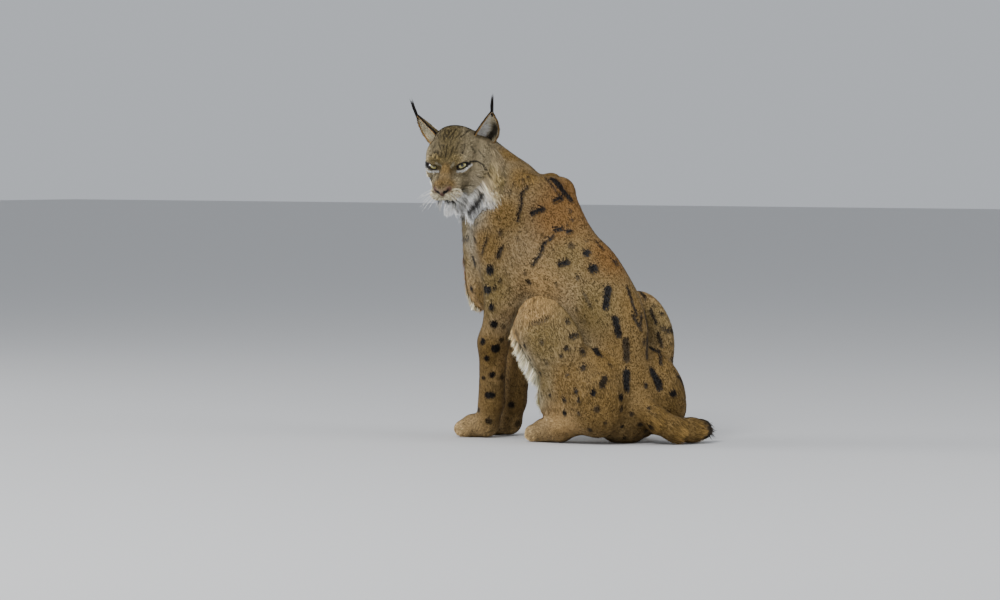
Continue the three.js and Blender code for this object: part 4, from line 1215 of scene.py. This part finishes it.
# Draws the lips on the hair or the skin about the mouth.
def lipped(path, colours):
    x, y, z = skull.inward(path[:, 0]).T
    for _, s in SIDES:
        near = (x * s > LIPS_WIDTH[0]) & (x * s < LIPS_WIDTH[1]) & (y < LIPS_BACK)
        near &= (z > LIPS_HEIGHT[0]) & (z < LIPS_HEIGHT[1])
        colours[near] = streaked(path[near], s, colours[near], LIPS, LIPS_RADIUS)
    return colours


# Long hair has its own colours, with something of the coat's under it, all made lighter as painted light
# against the shade it hangs in and the painted shade at its roots.
LONG_HAIR_PAINTED_LIGHT = 1.35
LONG_HAIR_TINT = 0.75


def tinted(path, along, names):
    tint = between([SHADES[name] for name in names], along)
    own = mixed(path[:, 0], COAT_PLACES, COAT_COLOURS)
    # painted light: the mixed colours are lifted by this share
    return tuft_colours(path, own + (tint - own) * LONG_HAIR_TINT) * LONG_HAIR_PAINTED_LIGHT


# The row of a table for each place along it, from 0 to 1.
def between(rows, along):
    rows = np.array(rows, float)
    place = along * (len(rows) - 1)
    first = np.minimum(place.astype(int), len(rows) - 2)
    return rows[first] + (rows[first + 1] - rows[first]) * (place - first)[:, None]


# The nearest places on the skin, and the ways out of it there.
def on_skin(points):
    found = [skin_tree.find_nearest(Vector(p)) for p in points]
    return np.array([place for place, *_ in found]), np.array([normal for _, normal, *_ in found])


def long_hair(side, s, name, base, places, lies, lengths, width, count, spread, droop, colours):
    count = fewer(count)
    along = chance.uniform(0, 1, count)
    near = base.outward(between(places, along) * (s, 1, 1)) + chance.normal(0, spread, (count, 3))
    roots, normals = on_skin(near)
    lie = unit(base.along(between(lies, along) * (s, 1, 1)))
    lengths = between(np.array(lengths)[:, None], along)[:, 0]
    path, widths, tone = hang(roots, normals, lie, lengths, width, droop)
    colour = lipped(path, tinted(path, along, colours) * tone[:, None, None])
    return tuft_mesh(f"{name}_{side}", path, widths, normals, colour, roots)


# Hair that hangs free of the skin.
FALL = np.array((0.0, 0.0, -1.0))
HUNG_LENGTHS = (0.6, 1.12)
HUNG_STRAY = 0.1
HUNG_BOW = 0.25  # how far it bends out on its way
HUNG_GATHER = 0.7


def hang(roots, normals, lies, lengths, width, droop):
    count = len(roots)
    lies = unit(lies + chance.normal(0, HUNG_STRAY, (count, 3)))
    lengths = lengths * chance.uniform(*HUNG_LENGTHS, count)
    path = np.empty((count, 4, 3))
    for i, time in enumerate(TUFT_TIMES):
        bow = normals * HUNG_BOW * time * (1 - time) + FALL * droop * time ** 2
        path[:, i] = roots - normals * (1 - time) + (lies * time + bow) * lengths[:, None]
    path, tone = gathered(path, HUNG_GATHER)
    return path, width * chance.uniform(*WIDTHS_OF_TUFTS, count), tone


# Opens the lids: the skin over each slit is left out, and its edge turned in to the eyeball.
LID_EDGE = 0.6  # skin this near to the slit's edge is moved onto it
LID_REACH = 32  # how far from the eyeball's middle the slit is cut
LID_TURN = 0.8  # how deep in the eyeball the turned edge ends


def open_lids(points, triangles):
    points = points.copy()
    for (_, s), opening in zip(SIDES, slits):
        middle = skull.outward((s * EYE_PLACE, 0, 0))
        level = opening(points)
        edge = np.flatnonzero(np.abs(level) < LID_EDGE)
        points[edge] -= unit(slope(opening, points[edge])) * level[edge, None]
        level[edge] = 0
        near = np.linalg.norm(points[triangles[:, 0]] - middle, axis=1) < LID_REACH
        gone = (level[triangles] <= 0).all(axis=1) & near
        rims = edges_of(triangles[~gone]) & {(b, a) for a, b in edges_of(triangles[gone])}
        triangles = triangles[~gone]
        rim = sorted({corner for pair in rims for corner in pair})
        ray = points[rim] - middle
        turned_in = middle + unit(ray) * (EYE_RADIUS - LID_TURN)
        number = {corner: len(points) + n for n, corner in enumerate(rim)}
        points = np.concatenate([points, turned_in])
        walls = [[(b, a, number[a]), (b, number[a], number[b])] for a, b in rims]
        triangles = np.concatenate([triangles, np.array(walls).reshape(-1, 3)])
    return points, triangles


def edges_of(triangles):
    pairs = np.concatenate([triangles[:, [0, 1]], triangles[:, [1, 2]], triangles[:, [2, 0]]])
    return set(map(tuple, pairs.tolist()))


# The skin: one mesh, finer over the head and finest over the face.
GRID_LOW = np.array([-250.0, -580.0, -16.0])
GRID_HIGH = np.array([200.0, 200.0, 720.0])
OUTER_CELL = 6.0
# painted shade: the skin's colours are darkened, as the hair over it is darkened by its own shade
PAINTED_SKIN_SHADE = 0.8  # how light it is beside the hair over it
skin_points, skin_faces = mesh_field(skin_field, GRID_LOW, GRID_HIGH, CELL)
skin_points, skin_faces = finer(skin_points, skin_faces, HEAD_PLACE, HEAD_REACH)
skin_points, skin_faces = finer(skin_points, skin_faces, FACE_PLACE, FACE_REACH)
triangles = np.array([
    (face[0], face[n + 1], face[n]) for face in skin_faces for n in range(1, len(face) - 1)
])
skin_points, triangles = open_lids(skin_points, triangles)
skin = new_object("skin", skin_points, triangles)
skin_normals = np.empty(len(skin_points) * 3, np.float32)
skin.data.vertex_normals.foreach_get("vector", skin_normals)
skin_normals = skin_normals.reshape(-1, 3).astype(float)
skin_tree = tree_of(skin_points, triangles)
outer_points, outer_quads = mesh_field(lambda p: body(p) + 1, GRID_LOW, GRID_HIGH, OUTER_CELL)
outer_tree = tree_of(outer_points, outer_quads)
balls = marks_on(skin_tree, outer_tree)
painter = Painter(more_spots(balls, skin_points))
skin_colours = face_paint(skin_points, painter(skin_points))
skin_colours = lipped(skin_points[:, None], skin_colours[:, None])[:, 0]
# the skin's colours, darkened as painted shade
set_colours(skin, skin_colours * PAINTED_SKIN_SHADE)

# The coat: tufts over all the skin, fewer where each is longer or wider.
COVER = 6.7
MOST_CROWDED = 0.9  # tufts for a square millimetre
BARE_SOLE = 3  # no hair grows below this
LOWEST_HAIR = 1  # and none hangs below this
CHEEK_REACH = 130  # how far from the skull's own place the streak is drawn
sizes = mixed(skin_points, COAT_PLACES, COAT_SIZES)
crowd = np.minimum(COVER / (sizes[:, 0] * sizes[:, 1]), MOST_CROWDED)
crowd[skin_points[:, 2] < BARE_SOLE] = 0
crowd[bare(skin_points)] = 0
roots, normals = pick_places(skin_points, triangles, crowd, skin_normals)
sizes = mixed(roots, COAT_PLACES, COAT_SIZES)
sizes[:, 0] *= lip_share(roots)
lies = mixed(roots, COAT_PLACES, COAT_LIES)
paths, widths, tones = grow(roots, normals, sizes, lies, fluff)
paths[:, :, 2] = np.maximum(paths[:, :, 2], LOWEST_HAIR)
colours = tuft_colours(paths) * tones[:, None, None]
places = skull.inward(roots)
cheek = (places[:, 0] > 0) & (np.linalg.norm(places, axis=1) < CHEEK_REACH)
colours[cheek] = streaked(paths[cheek], 1, colours[cheek])
colours = lipped(paths, colours)

# One piece of coat for each part of the body, cut in two or more where it has too many tufts.
MOST_TUFTS = 38000
regions = [("head", head), ("neck", neck), ("torso", torso), ("tail", tail)]
regions += [(f"foreleg_{side}", least([foreleg(s), forepaw(s)])) for side, s in SIDES]
regions += [(f"hindleg_{side}", least([haunch(s, THIGH[side]), hindpaw(s)])) for side, s in SIDES]
nearest = np.argmin([field(roots) for _, field in regions], axis=0)
coat = []
for n, (name, _) in enumerate(regions):
    here = np.flatnonzero(nearest == n)
    if len(here) == 0:
        continue
    here = here[np.argsort(roots[here, 2])]
    for part, some in enumerate(np.array_split(here, max(1, math.ceil(len(here) / MOST_TUFTS)))):
        cut = [values[some] for values in (paths, widths, normals, colours, roots)]
        coat.append(tuft_mesh(f"coat_{name}_{part}", *cut))

coat += [long_hair(side, s, *group) for side, s in SIDES for group in LONG_HAIR]
coat += [ruff(side, s, outer_tree) for side, s in SIDES]
ears = [ear_cup(side, s) for side, s in SIDES]
eyes = [eyeball(side, s) for side, s in SIDES]
coat += [tuft_mesh(f"ear_hair_{side}", *ear_hair(side, s)) for side, s in SIDES]
whiskers = [whisker_mesh(f"whiskers_{side}", whisker_paths(s)) for side, s in SIDES]


# Materials, all made of nodes.
def new_material(name, roughness):
    made = bpy.data.materials.new(name)
    made.use_nodes = True
    shader = made.node_tree.nodes["Principled BSDF"]
    shader.inputs["Roughness"].default_value = roughness
    return made, made.node_tree.links.new, shader


def add_node(material, kind, **inputs):
    node = material.node_tree.nodes.new("ShaderNode" + kind)
    for name, value in inputs.items():
        node.inputs[name.replace("_", " ")].default_value = value
    return node


def painted_number(material, name):
    node = add_node(material, "Attribute")
    node.attribute_name = name
    return node


# Takes its colour from the mesh, varied by noise.
def painted_material(name, roughness, gloss, grain, vary):
    made, link, shader = new_material(name, roughness)
    shader.inputs["Specular IOR Level"].default_value = gloss
    colour = painted_number(made, "colour")
    noise = add_node(made, "TexNoise", Scale=grain, Detail=3)
    spread = add_node(made, "MapRange", From_Min=0.3, From_Max=0.7, To_Min=1 - vary, To_Max=1 + vary)
    shade = add_node(made, "VectorMath")
    shade.operation = "SCALE"
    link(noise.outputs["Fac"], spread.inputs["Value"])
    link(colour.outputs["Color"], shade.inputs[0])
    link(spread.outputs["Result"], shade.inputs["Scale"])
    link(shade.outputs["Vector"], shader.inputs["Base Color"])
    return made


def skin_material():
    made = painted_material("skin_under_fur", 0.7, 0.3, 300, 0.15)
    link, shader = made.node_tree.links.new, made.node_tree.nodes["Principled BSDF"]
    grain = add_node(made, "TexNoise", Scale=1400)
    bump = add_node(made, "Bump", Distance=0.0006, Strength=0.6)
    link(grain.outputs["Fac"], bump.inputs["Height"])
    link(bump.outputs["Normal"], shader.inputs["Normal"])
    return made


# The colours of the eye by the angle from where it looks, as a share of half a turn.
IRIS = (
    (0.0, (0.004, 0.004, 0.004)),
    (0.078, (0.004, 0.004, 0.004)),
    (0.086, (0.3, 0.25, 0.08)),
    (0.15, (0.38, 0.34, 0.12)),
    (0.195, (0.25, 0.2, 0.06)),
    (0.215, (0.02, 0.014, 0.008)),
    (0.4, (0.05, 0.03, 0.02)),
)


def eye_material():
    made, link, shader = new_material("eye", 0.06)
    shader.inputs["Coat Weight"].default_value = 1
    shader.inputs["Coat Roughness"].default_value = 0.02
    gaze = painted_number(made, "gaze")
    noise = add_node(made, "TexNoise", Scale=900)
    shift = add_node(made, "Math")
    shift.operation = "MULTIPLY_ADD"
    shift.inputs[1].default_value = 0.012
    ramp = add_node(made, "ValToRGB")
    for place, colour in IRIS:
        stop = ramp.color_ramp.elements.new(place)
        stop.color = (*colour, 1)
    link(noise.outputs["Fac"], shift.inputs[0])
    link(gaze.outputs["Fac"], shift.inputs[2])
    link(shift.outputs["Value"], ramp.inputs["Fac"])
    link(ramp.outputs["Color"], shader.inputs["Base Color"])
    return made


def noisy_material(name, colour, roughness, scale):
    made, link, shader = new_material(name, roughness)
    noise = add_node(made, "TexNoise", Scale=scale)
    ramp = add_node(made, "ValToRGB")
    ramp.color_ramp.elements[0].color = (*[c * 0.94 for c in colour], 1)
    ramp.color_ramp.elements[1].color = (*[min(1, c * 1.04) for c in colour], 1)
    link(noise.outputs["Fac"], ramp.inputs["Fac"])
    link(ramp.outputs["Color"], shader.inputs["Base Color"])
    return made


fur = painted_material("fur", 0.7, 0.12, 90, 0.14)
under = skin_material()
for piece in coat:
    piece.data.materials.append(fur)
for piece in [skin, *ears]:
    piece.data.materials.append(under)
for piece in eyes:
    piece.data.materials.append(eye_material())
for piece in whiskers:
    piece.data.materials.append(noisy_material("whisker", (0.8, 0.78, 0.72), 0.4, 300))


# A pale floor and soft light.
FLOOR_SIZE = 60
LAMPS = (  # each with its place in metres, its power in watts and its size
    ("key", (5, 0.8, 4.6), 320, 2.5),
    ("fill", (-1, 5.5, 2.6), 160, 4),
    ("front", (2.5, -5, 1.2), 230, 3),
)
LOOKED_AT = Vector((0, -0.25, 0.35))
SKY_COLOUR = (0.82, 0.86, 0.92, 1)
SKY_STRENGTH = 0.62


def make_stage():
    bpy.ops.mesh.primitive_plane_add(size=FLOOR_SIZE)
    floor = bpy.context.object
    floor.name = "floor"
    floor.data.materials.append(noisy_material("floor_grey", (0.6, 0.6, 0.6), 0.9, 0.2))
    sky = bpy.data.worlds.new("sky")
    bpy.context.scene.world = sky
    sky.use_nodes = True
    light = sky.node_tree.nodes["Background"].inputs
    light["Color"].default_value = SKY_COLOUR
    light["Strength"].default_value = SKY_STRENGTH
    for name, place, power, size in LAMPS:
        lamp = bpy.data.objects.new(name, bpy.data.lights.new(name, "AREA"))
        bpy.context.scene.collection.objects.link(lamp)
        lamp.location = place
        lamp.data.energy = power
        lamp.data.size = size
        lamp.rotation_mode = "QUATERNION"
        lamp.rotation_quaternion = (Vector(place) - LOOKED_AT).to_track_quat("Z", "Y")


make_stage()
flesh = [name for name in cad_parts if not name.startswith(("ear_", "eye_"))]
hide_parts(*flesh)
for (side, _), cup, ball in zip(SIDES, ears, eyes):
    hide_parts(f"ear_{side}")
    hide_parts(f"eye_{side}")
for made, slot in (([skin, *coat, *ears], "coat"), (eyes, "eye"), (whiskers, "whisker")):
    for piece in made:
        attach(piece, "root")
